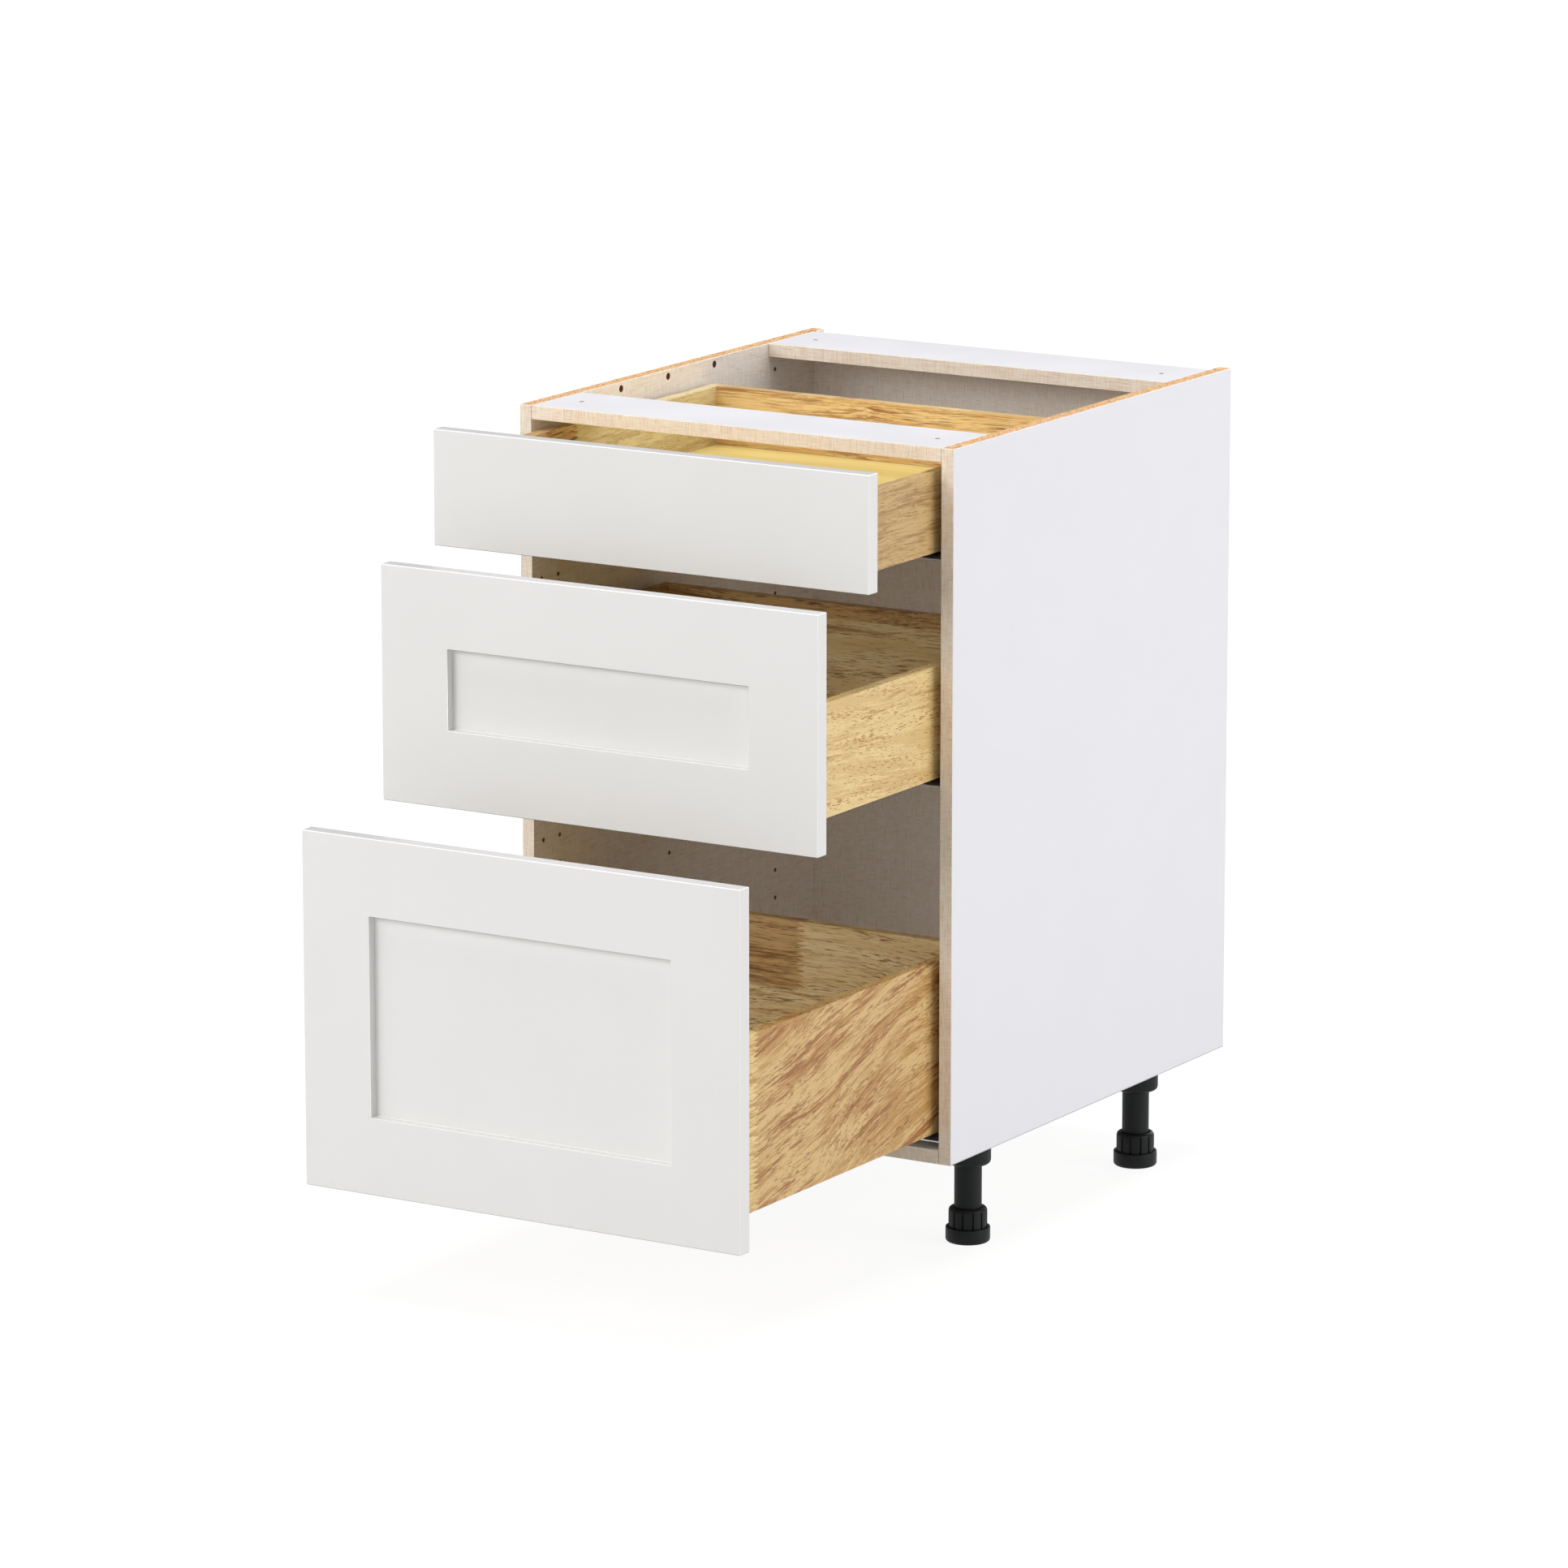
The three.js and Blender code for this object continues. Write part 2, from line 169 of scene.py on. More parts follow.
def choose(kind: str, wanted: Callable[[Any], bool]) -> None:
    """Selects the parts of the edited piece that pass a test, and no others.

    Args:
        kind: Which parts are tested: edges or faces.
        wanted: The test.
    """
    mesh = bmesh.from_edit_mesh(bpy.context.object.data)
    for part in getattr(mesh, kind):
        part.select_set(wanted(part))
    mesh.select_flush_mode()
    bmesh.update_edit_mesh(bpy.context.object.data)


def select_faces(wanted: FaceTest) -> None:
    """Selects the edited piece's faces that pass a test of their middle and normal."""
    choose("faces", lambda face: wanted(face.calc_center_median(), face.normal))


def select_edges(wanted: EdgeTest) -> None:
    """Selects the edited piece's edges that pass a test of their two ends."""
    choose("edges", lambda edge: wanted(edge.verts[0].co, edge.verts[1].co))


def select_folds() -> None:
    """Selects the edited piece's edges where two faces meet at an angle."""
    choose("edges", lambda edge: len(edge.link_faces) == 2 and edge.calc_face_angle(0.0) > FOLD)


def round_edges(wanted: PlaceTest, width: float, steps: int) -> None:
    """Rounds the edited piece's edges whose two ends both pass a test.

    Args:
        wanted: The test.
        width: How far the rounding reaches from the edge.
        steps: How many faces make up the rounding.
    """
    select_edges(lambda start, end: wanted(start) and wanted(end))
    bpy.ops.mesh.bevel(offset=width, segments=steps, affect="EDGES")


def settle(name: str) -> Piece:
    """Names the new primitive and moves its place into its mesh.

    Args:
        name: The piece's name.

    Returns:
        The piece, with its origin at the frame's origin.
    """
    piece = bpy.context.object
    piece.name = name
    piece.data.name = name
    bpy.ops.object.transform_apply(location=True, rotation=True, scale=True)
    return piece


def block(name: str, low: Vector, high: Vector) -> Piece:
    """A cuboid between two corners.

    Args:
        name: The piece's name.
        low: Its lowest corner.
        high: Its highest corner.

    Returns:
        The new piece.
    """
    deselect_all()
    bpy.ops.mesh.primitive_cube_add(size=1, location=(low + high) / 2, scale=high - low)
    return settle(name)


def turned(name: str, foot: Vector, outline: list[tuple[float, float]], sides: int) -> Piece:
    """A turned solid: a disc that is extruded and resized ring by ring.

    Args:
        name: The piece's name.
        foot: The point on its upright axis that heights are measured from.
        outline: Each ring's radius and height. The first and last rings are closed by a disc.
        sides: How many sides its circles have.

    Returns:
        The new piece.
    """
    deselect_all()
    radius, height = outline[0]
    bpy.ops.mesh.primitive_circle_add(
        vertices=sides, radius=radius, fill_type="NGON", location=foot + Vector((0, 0, height))
    )
    piece = settle(name)
    with editing(piece, Pick.FACES):
        bpy.ops.mesh.select_all(action="SELECT")
        for following, rise in outline[1:]:
            step = {"value": (0, 0, rise - height)}
            bpy.ops.mesh.extrude_region_move(TRANSFORM_OT_translate=step)
            share = following / radius
            bpy.ops.transform.resize(value=(share, share, 1), center_override=foot)
            radius, height = following, rise
        bpy.ops.mesh.select_all(action="SELECT")
        bpy.ops.mesh.normals_make_consistent(inside=False)
    return piece


def arc(middle: tuple[float, float], radius: float, start: float, end: float,
        steps: int) -> list[tuple[float, float]]:
    """Points on an arc of an outline.

    Args:
        middle: The arc's middle, as a radius and a height.
        radius: The arc's own radius.
        start: Where it starts, in degrees from the outward direction.
        end: Where it ends.
        steps: How many straight pieces it has.

    Returns:
        The points, both ends with them.
    """
    turns = [math.radians(start + (end - start) * step / steps) for step in range(steps + 1)]
    return [(middle[0] + radius * math.cos(turn), middle[1] + radius * math.sin(turn))
            for turn in turns]


ROD_TURNS: dict[Axis, Triple] = {
    Axis.X: (0, math.pi / 2, 0),
    Axis.Y: (math.pi / 2, 0, 0),
    Axis.Z: (0, 0, 0),
}


def rod(name: str, middle: Vector, axis: Axis, radius: float, length: float) -> Piece:
    """A round rod along one axis.

    Args:
        name: The piece's name.
        middle: The middle of its length.
        axis: The axis that it lies along.
        radius: Its radius.
        length: Its length.

    Returns:
        The new piece.
    """
    deselect_all()
    bpy.ops.mesh.primitive_cylinder_add(
        vertices=ROD_SIDES, radius=radius, depth=length, location=middle, rotation=ROD_TURNS[axis]
    )
    return settle(name)


def apply_modifier(piece: Piece, kind: str, **settings: Any) -> None:
    """Adds a modifier with its settings and applies it at once.

    Args:
        piece: The piece to change.
        kind: The kind of modifier.
        **settings: The modifier's settings.
    """
    take_up(piece)
    modifier = piece.modifiers.new(kind.title(), kind)
    for key, value in settings.items():
        setattr(modifier, key, value)
    bpy.ops.object.modifier_apply(modifier=modifier.name)


def cut(piece: Piece, cutters: list[Piece]) -> None:
    """Takes the cutters' shapes out of a piece and throws the cutters away.

    Args:
        piece: The piece to cut.
        cutters: The shapes that are taken out of it.
    """
    if len(cutters) > 1:
        deselect_all()
        for cutter in cutters:
            cutter.select_set(True)
        bpy.context.view_layer.objects.active = cutters[0]
        bpy.ops.object.join()
    apply_modifier(piece, "BOOLEAN", operation="DIFFERENCE", solver="EXACT", use_self=True,
                   object=cutters[0])
    bpy.data.objects.remove(cutters[0])


def ease_edges(piece: Piece, width: float, steps: int) -> None:
    """Takes the sharpness off every edge of a block.

    Args:
        piece: The piece to change.
        width: How far the rounding reaches from the edge.
        steps: How many faces make up the rounding.
    """
    with editing(piece, Pick.EDGES):
        bpy.ops.mesh.select_all(action="SELECT")
        bpy.ops.mesh.bevel(offset=width, offset_type="OFFSET", segments=steps, affect="EDGES")


def smooth(piece: Piece, angle: float = SOFT_EDGE) -> None:
    """Shades a piece smooth, apart from edges sharper than an angle in degrees."""
    take_up(piece)
    bpy.ops.object.shade_smooth_by_angle(angle=math.radians(angle))


def flatten(piece: Piece) -> None:
    """Shades a piece smooth over its rounded edges and leaves its broad faces flat."""
    smooth(piece, ROUNDED_EDGE)
    apply_modifier(piece, "WEIGHTED_NORMAL", keep_sharp=True, weight=100, mode="FACE_AREA")


def copy_of(piece: Piece, name: str, move: Vector) -> Piece:
    """A copy of a piece with a mesh of its own, moved to another place.

    Args:
        piece: The piece to copy.
        name: The copy's name.
        move: How far the copy is from the piece.

    Returns:
        The copy.
    """
    take_up(piece)
    bpy.ops.object.duplicate(linked=False)
    copy = bpy.context.object
    copy.name = name
    copy.data.name = name
    bpy.ops.transform.translate(value=move)
    bpy.ops.object.transform_apply(location=True, rotation=False, scale=False)
    return copy


def mount(piece: Piece, body: str, slot: str, *nodes: str) -> None:
    """Puts a piece on the body that it rides on, and hides the nodes that it stands for.

    Args:
        piece: The finished piece.
        body: The body that it moves with.
        slot: A material slot's name; not used.
        *nodes: The nodes that it replaces.
    """
    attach(piece, body)
    if nodes:
        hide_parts(*nodes)
    log.info("%s on %s, %d faces", piece.name, body, len(piece.data.polygons))


# ---- The paint desk: shader nodes --------------------------------------------------------


class Desk:
    """Adds and links the nodes of one shader tree."""

    def __init__(self, tree: bpy.types.NodeTree) -> None:
        """Takes the tree to work in."""
        self.tree = tree

    def feed(self, socket: Socket, value: Any) -> None:
        """Links a socket to another one, or sets it to a value.

        Args:
            socket: The socket to feed.
            value: Another socket, or what this one is set to.
        """
        if isinstance(value, Socket):
            self.tree.links.new(value, socket)
        elif socket.type == "RGBA":
            socket.default_value = (*value, 1.0)
        else:
            socket.default_value = value

    def add(self, kind: str, inputs: dict[Any, Any], **settings: Any) -> bpy.types.Node:
        """Adds a node.

        Args:
            kind: The node's type.
            inputs: Values or sockets, by the name or number of the input.
            **settings: The node's own settings.

        Returns:
            The new node.
        """
        node = self.tree.nodes.new(kind)
        for key, value in settings.items():
            setattr(node, key, value)
        for key, value in inputs.items():
            self.feed(node.inputs[key], value)
        return node

    def place(self) -> Socket:
        """The point on the surface, in the frame's metres, riding with the piece."""
        return self.add("ShaderNodeTexCoord", {}).outputs["Object"]

    def maths(self, operation: str, *values: Any) -> Socket:
        """One step of arithmetic on numbers."""
        inputs = dict(enumerate(values))
        return self.add("ShaderNodeMath", inputs, operation=operation).outputs[0]

    def scaled(self, vector: Socket, by: Triple) -> Socket:
        """A vector with each part multiplied."""
        return self.add("ShaderNodeVectorMath", {0: vector, 1: by}, operation="MULTIPLY").outputs[0]

    def moved(self, vector: Socket, by: Any) -> Socket:
        """A vector with another one added."""
        return self.add("ShaderNodeVectorMath", {0: vector, 1: by}, operation="ADD").outputs[0]

    def counted(self, vector: Socket, unit: Socket) -> Socket:
        """A vector of lengths, counted in a unit of length."""
        inputs = {0: vector, "Scale": self.maths("DIVIDE", 1.0, unit)}
        return self.add("ShaderNodeVectorMath", inputs, operation="SCALE").outputs[0]

    def parts(self, vector: Socket) -> tuple[Socket, Socket, Socket]:
        """The three parts of a vector."""
        split = self.add("ShaderNodeSeparateXYZ", {0: vector})
        return tuple(split.outputs)

    def joined(self, first: Any, second: Any, third: Any) -> Socket:
        """A vector made of three numbers."""
        return self.add("ShaderNodeCombineXYZ", {0: first, 1: second, 2: third}).outputs[0]

    def noise(self, vector: Socket, stretch: Triple, detail: float = 2,
              rough: float = 0.5) -> Socket:
        """Soft noise, 0 to 1, with its own frequency along each axis.

        Args:
            vector: Where it is read, in metres.
            stretch: Waves for each metre, along each axis.
            detail: How many finer layers it has.
            rough: How strong the finer layers are.

        Returns:
            The noise value.
        """
        inputs = {"Vector": self.scaled(vector, stretch), "Scale": 1.0, "Detail": detail,
                  "Roughness": rough}
        return self.add("ShaderNodeTexNoise", inputs).outputs[0]

    def ramp(self, value: Socket, low: Any, high: Any,
             to: tuple[Any, Any] = (0.0, 1.0)) -> Socket:
        """A soft step from one value to another as the input goes from low to high."""
        inputs = {"Value": value, "From Min": low, "From Max": high, "To Min": to[0],
                  "To Max": to[1]}
        return self.add("ShaderNodeMapRange", inputs, interpolation_type="SMOOTHSTEP").outputs[0]

    def mix(self, share: Any, first: Any, second: Any) -> Socket:
        """Two colours mixed.

        Args:
            share: The share of the second one.
            first: The first colour.
            second: The second colour.

        Returns:
            The mixed colour.
        """
        node = self.add("ShaderNodeMix", {}, data_type="RGBA", blend_type="MIX")
        for index, value in ((0, share), (6, first), (7, second)):
            self.feed(node.inputs[index], value)
        return node.outputs[2]

    def bump(self, height: Socket, distance: float) -> Socket:
        """A normal that follows a height of 0 to 1 over a distance in metres."""
        inputs = {"Height": height, "Distance": distance, "Strength": 1.0}
        return self.add("ShaderNodeBump", inputs).outputs[0]


class Effect(ABC):
    """A surface effect as a node group, built once and placed with each material's own values."""

    NAME: ClassVar[str]
    INPUTS: ClassVar[dict[str, str]]
    OUTPUTS: ClassVar[dict[str, str]]

    @abstractmethod
    def wire(self, desk: Desk, given: dict[str, Socket]) -> dict[str, Socket]:
        """Wires the effect.

        Args:
            desk: The desk of the group's tree.
            given: The group's inputs, by name.

        Returns:
            The sockets that the group puts out, by name.
        """

    def tree(self) -> bpy.types.NodeTree:
        """The group's tree, made at the first call.

        Returns:
            The tree.
        """
        made = bpy.data.node_groups.get(self.NAME)
        if made is not None:
            return made
        made = bpy.data.node_groups.new(self.NAME, "ShaderNodeTree")
        for side, sockets in (("INPUT", self.INPUTS), ("OUTPUT", self.OUTPUTS)):
            for name, kind in sockets.items():
                made.interface.new_socket(name=name, in_out=side,
                                          socket_type=f"NodeSocket{kind}")
        desk = Desk(made)
        entry = desk.add("NodeGroupInput", {})
        found = self.wire(desk, {name: entry.outputs[name] for name in self.INPUTS})
        desk.add("NodeGroupOutput", found)
        return made

    def on(self, desk: Desk, **values: Any) -> dict[str, Socket]:
        """Places the group in a material.

        Args:
            desk: The desk of the material's tree.
            **values: The group's inputs, by name.

        Returns:
            The group's outputs, by name.
        """
        node = desk.add("ShaderNodeGroup", {}, node_tree=self.tree())
        for name, value in values.items():
            desk.feed(node.inputs[name], value)
        return {name: node.outputs[name] for name in self.OUTPUTS}


class FineTexture(Effect):
    """The small even unevenness of sprayed paint, pressed foil or moulded plastic."""

    NAME = "fine_texture"
    INPUTS = {"Place": "Vector", "Size": "Float"}
    OUTPUTS = {"Height": "Float", "Mottle": "Float"}
    BUMPS: ClassVar[Triple] = (1, 1, 1)
    MOTTLE: ClassVar[Triple] = (9, 9, 9)

    def wire(self, desk: Desk, given: dict[str, Socket]) -> dict[str, Socket]:
        """Wires the small bumps, counted in their size, and a broad, faint mottle.

        Args:
            desk: The desk of the group's tree.
            given: The group's inputs, by name.

        Returns:
            The sockets that the group puts out, by name.
        """
        height = desk.noise(desk.counted(given["Place"], given["Size"]), self.BUMPS, 3)
        mottle = desk.noise(given["Place"], self.MOTTLE, 3)
        return {"Height": height, "Mottle": desk.ramp(mottle, 0.3, 0.7)}


class LinenWeave(Effect):
    """Uneven threads that cross each other, as printed on linen look board.

    The four patterns give waves for each thread, along X, Y and Z.
    """

    NAME = "linen_weave"
    INPUTS = {"Place": "Vector", "Thread": "Float"}
    OUTPUTS = {"Tone": "Float", "Line": "Float", "Height": "Float"}
    UPRIGHT: ClassVar[Triple] = (1.0, 1.0, 0.05)
    LEVEL: ClassVar[Triple] = (0.05, 0.05, 1.0)
    BANDS: ClassVar[Triple] = (0.14, 0.14, 0.006)
    COURSES: ClassVar[Triple] = (0.006, 0.006, 0.14)
    BROAD_SHARE: ClassVar[float] = 0.35

    def wire(self, desk: Desk, given: dict[str, Socket]) -> dict[str, Socket]:
        """Wires upright and level threads, each as fine lines with slubs and broad bands.

        Args:
            desk: The desk of the group's tree.
            given: The group's inputs, by name.

        Returns:
            The sockets that the group puts out, by name.
        """
        point = desk.counted(given["Place"], given["Thread"])
        upright, level, bands, courses = (
            desk.noise(point, pattern, 1)
            for pattern in (self.UPRIGHT, self.LEVEL, self.BANDS, self.COURSES)
        )
        fine = desk.maths("ADD", upright, level)
        broad = desk.maths("MULTIPLY", desk.maths("ADD", bands, courses), self.BROAD_SHARE)
        single = desk.maths("MINIMUM", upright, level)
        return {
            "Tone": desk.ramp(desk.maths("ADD", fine, broad), 1.05, 1.65),
            "Line": desk.ramp(single, 0.43, 0.27),
            "Height": desk.ramp(fine, 0.6, 1.4),
        }


class Figure(Effect):
    """The figure of a light hardwood: bands, brown flames, fibres and open pores.

    Place is in metres: along the grain, across it on the face, and into the board. The patterns
    give waves for each metre in the same order. Run says how long the pores are: below 1 they
    are specks, and above 1 long cracks.
    """

    NAME = "hardwood_figure"
    INPUTS = {"Place": "Vector", "Light": "Color", "Middle": "Color", "Dark": "Color",
              "Pore": "Color", "Streaks": "Float", "Pores": "Float", "Waves": "Float",
              "Run": "Float"}
    OUTPUTS = {"Colour": "Color", "Height": "Float"}
    SWAY: ClassVar[Triple] = (4.5, 6, 6)
    BANDS: ClassVar[Triple] = (5, 46, 30)
    FIBRES: ClassVar[Triple] = (22, 380, 380)
    FLAMES: ClassVar[Triple] = (5.5, 58, 34)
    FLAMES_AT: ClassVar[Triple] = (3.1, 0.7, 0.2)
    FLAMES_FIBRE: ClassVar[float] = 0.7
    PORES: ClassVar[Triple] = (62, 760, 760)
    CROWDS: ClassVar[Triple] = (8, 70, 50)
    PORE_EDGE: ClassVar[float] = 0.13

    def wire(self, desk: Desk, given: dict[str, Socket]) -> dict[str, Socket]:
        """Wires the grain from the broadest bands to the finest pores.

        Args:
            desk: The desk of the group's tree.
            given: The group's inputs, by name.

        Returns:
            The sockets that the group puts out, by name.
        """
        place = given["Place"]
        sway = desk.maths("SUBTRACT", desk.noise(place, self.SWAY, 1, 0.4), 0.5)
        shift = desk.maths("MULTIPLY", sway, given["Waves"])
        grain = desk.moved(place, desk.joined(0.0, shift, shift))

        fibres = desk.noise(grain, self.FIBRES, 4, 0.75)
        tone = desk.maths("ADD", desk.noise(grain, self.BANDS, 3, 0.6), fibres)
        colour = desk.mix(desk.ramp(tone, 0.9, 1.1), given["Light"], given["Middle"])

        flame = desk.noise(desk.moved(grain, self.FLAMES_AT), self.FLAMES, 3, 0.65)
        frayed = desk.maths("ADD", flame, desk.maths("MULTIPLY", fibres, self.FLAMES_FIBRE))
        share = desk.maths("MULTIPLY", desk.ramp(frayed, 0.88, 1.02), given["Streaks"])
        colour = desk.mix(share, colour, given["Dark"])

        along, across, deep = desk.parts(grain)
        short = desk.joined(desk.maths("DIVIDE", along, given["Run"]), across, deep)
        dashes = desk.noise(short, self.PORES, 2, 0.6)
        limit = desk.ramp(desk.noise(grain, self.CROWDS), 0.3, 0.7, (0.6, 0.5))
        pores = desk.ramp(dashes, limit, desk.maths("ADD", limit, self.PORE_EDGE))
        colour = desk.mix(desk.maths("MULTIPLY", pores, given["Pores"]), colour, given["Pore"])
        return {"Colour": colour, "Height": desk.maths("SUBTRACT", fibres, pores)}


class FingerJoint(Effect):
    """The mask of a finger joint: 1 past a zigzag line across the grain."""

    NAME = "finger_joint"
    INPUTS = {"Place": "Vector", "Line": "Float", "Pitch": "Float", "Depth": "Float"}
    OUTPUTS = {"Past": "Float"}

    def wire(self, desk: Desk, given: dict[str, Socket]) -> dict[str, Socket]:
        """Wires the zigzag as a sawtooth of the place across the grain.

        Args:
            desk: The desk of the group's tree.
            given: The group's inputs, by name.

        Returns:
            The sockets that the group puts out, by name.
        """
        along, across, _ = desk.parts(given["Place"])
        half = desk.maths("MULTIPLY", given["Pitch"], 0.5)
        tooth = desk.maths("DIVIDE", desk.maths("PINGPONG", across, half), half)
        reach = desk.maths("MULTIPLY", tooth, given["Depth"])
        past = desk.maths("GREATER_THAN", desk.maths("ADD", along, reach), given["Line"])
        return {"Past": past}


FINE_TEXTURE = FineTexture()
LINEN_WEAVE = LinenWeave()
FIGURE = Figure()
FINGER_JOINT = FingerJoint()


# ---- Finishes ----------------------------------------------------------------------------


@dataclass(frozen=True)
class Finish(ABC):
    """A surface finish, made into a material when the first piece wears it."""

    label: str

    @abstractmethod
    def wire(self, desk: Desk) -> dict[str, Any]:
        """Wires the finish's nodes.

        Args:
            desk: The desk of the material's tree.

        Returns:
            Values or sockets for the Principled shader's inputs.
        """

    def material(self) -> bpy.types.Material:
        """The finish's material, made at the first call.

        Returns:
            The material.
        """
        made = bpy.data.materials.get(self.label)
        if made is None:
            made = bpy.data.materials.new(self.label)
            made.use_nodes = True
            desk = Desk(made.node_tree)
            shader = made.node_tree.nodes["Principled BSDF"]
            for name, value in self.wire(desk).items():
                desk.feed(shader.inputs[name], value)
        return made


@dataclass(frozen=True)
class SmoothFinish(Finish):
    """Paint, foil or plastic: nearly one colour, with a fine texture."""

    colour: Colour
    mottle: float
    roughness: float
    texture: float
    depth: float
    metal: float = 0.0
    shine: float = 0.5
    ROUGH_SPREAD: ClassVar[tuple[float, float]] = (0.92, 1.08)

    def wire(self, desk: Desk) -> dict[str, Any]:
        """Wires the colour with its faint mottle, and the fine bumps.

        Args:
            desk: The desk of the material's tree.

        Returns:
            Values or sockets for the Principled shader's inputs.
        """
        texture = FINE_TEXTURE.on(desk, Place=desk.place(), Size=self.texture)
        mottle = texture["Mottle"]
        rough = tuple(self.roughness * spread for spread in self.ROUGH_SPREAD)
        return {
            "Base Color": desk.mix(mottle, darker(self.colour, self.mottle), self.colour),
            "Roughness": desk.ramp(mottle, 0.0, 1.0, rough),
            "Metallic": self.metal,
            "Specular IOR Level": self.shine,
            "Normal": desk.bump(texture["Height"], self.depth),
        }


@dataclass(frozen=True)
class LinenFinish(Finish):
    """Board with a printed and pressed linen weave."""

    light: Colour = srgb(253, 248, 241)
    deep: Colour = srgb(245, 233, 223)
    line: Colour = srgb(212, 184, 164)
    thread: float = 0.76 * MM
    level: bool = False
    roughness: float = 0.55
    depth: float = 0.03 * MM
    LINE_SHARE: ClassVar[float] = 0.4

    def wire(self, desk: Desk) -> dict[str, Any]:
        """Wires the weave; on a level board it is laid in the X and Y directions.

        Args:
            desk: The desk of the material's tree.

        Returns:
            Values or sockets for the Principled shader's inputs.
        """
        place = desk.place()
        if self.level:
            across, along, up = desk.parts(place)
            place = desk.joined(across, up, along)
        weave = LINEN_WEAVE.on(desk, Place=place, Thread=self.thread)
        ground = desk.mix(weave["Tone"], self.deep, self.light)
        lines = desk.maths("MULTIPLY", weave["Line"], self.LINE_SHARE)
        return {
            "Base Color": desk.mix(lines, ground, self.line),
            "Roughness": self.roughness,
            "Normal": desk.bump(weave["Height"], self.depth),
        }


@dataclass(frozen=True)
class ChipFinish(Finish):
    """The raw cut edge of particle board: pressed chips in several tones."""

    pale: Colour = srgb(238, 200, 150)
    middle: Colour = srgb(218, 164, 110)
    dark: Colour = srgb(170, 114, 70)
    roughness: float = 0.85
    depth: float = 0.15 * MM
    CHIPS: ClassVar[Triple] = (650, 300, 650)
    GAPS: ClassVar[Triple] = (700, 260, 700)

    def wire(self, desk: Desk) -> dict[str, Any]:
        """Wires the chips as stretched cells with a few dark gaps between them.

        Args:
            desk: The desk of the material's tree.

        Returns:
            Values or sockets for the Principled shader's inputs.
        """
        place = desk.place()
        cells = {"Vector": desk.scaled(place, self.CHIPS), "Scale": 1.0}
        tone = desk.parts(desk.add("ShaderNodeTexVoronoi", cells).outputs["Color"])[0]
        chips = desk.mix(desk.ramp(tone, 0.1, 0.9), self.middle, self.pale)
        gaps = desk.ramp(desk.noise(place, self.GAPS, 3, 0.6), 0.52, 0.64)
        return {
            "Base Color": desk.mix(gaps, chips, self.dark),
            "Roughness": self.roughness,
            "Normal": desk.bump(desk.maths("SUBTRACT", tone, gaps), self.depth),
        }


@dataclass(frozen=True)
class Plank:
    """The figure of one plank of a glued-up board."""

    light: Colour
    middle: Colour
    dark: Colour
    pore: Colour = srgb(130, 82, 40)
    streaks: float = 0.4
    pores: float = 0.8
    waves: float = 0.03
    run: float = 1.0
    tilt: float = 0.0
    cut_at: Triple = (0.0, 0.0, 0.0)


class JointKind(Enum):
    """How two planks of a board meet."""

    SEAM = "along the grain"
    FINGERS = "across the grain"


@dataclass(frozen=True)
class Joint:
    """A glue joint. The next plank lies past it.

    A seam is at a height across the board; fingers are at a place along it, and only between
    two heights.
    """

    kind: JointKind
    at: float
    low: float = -1.0
    high: float = 1.0


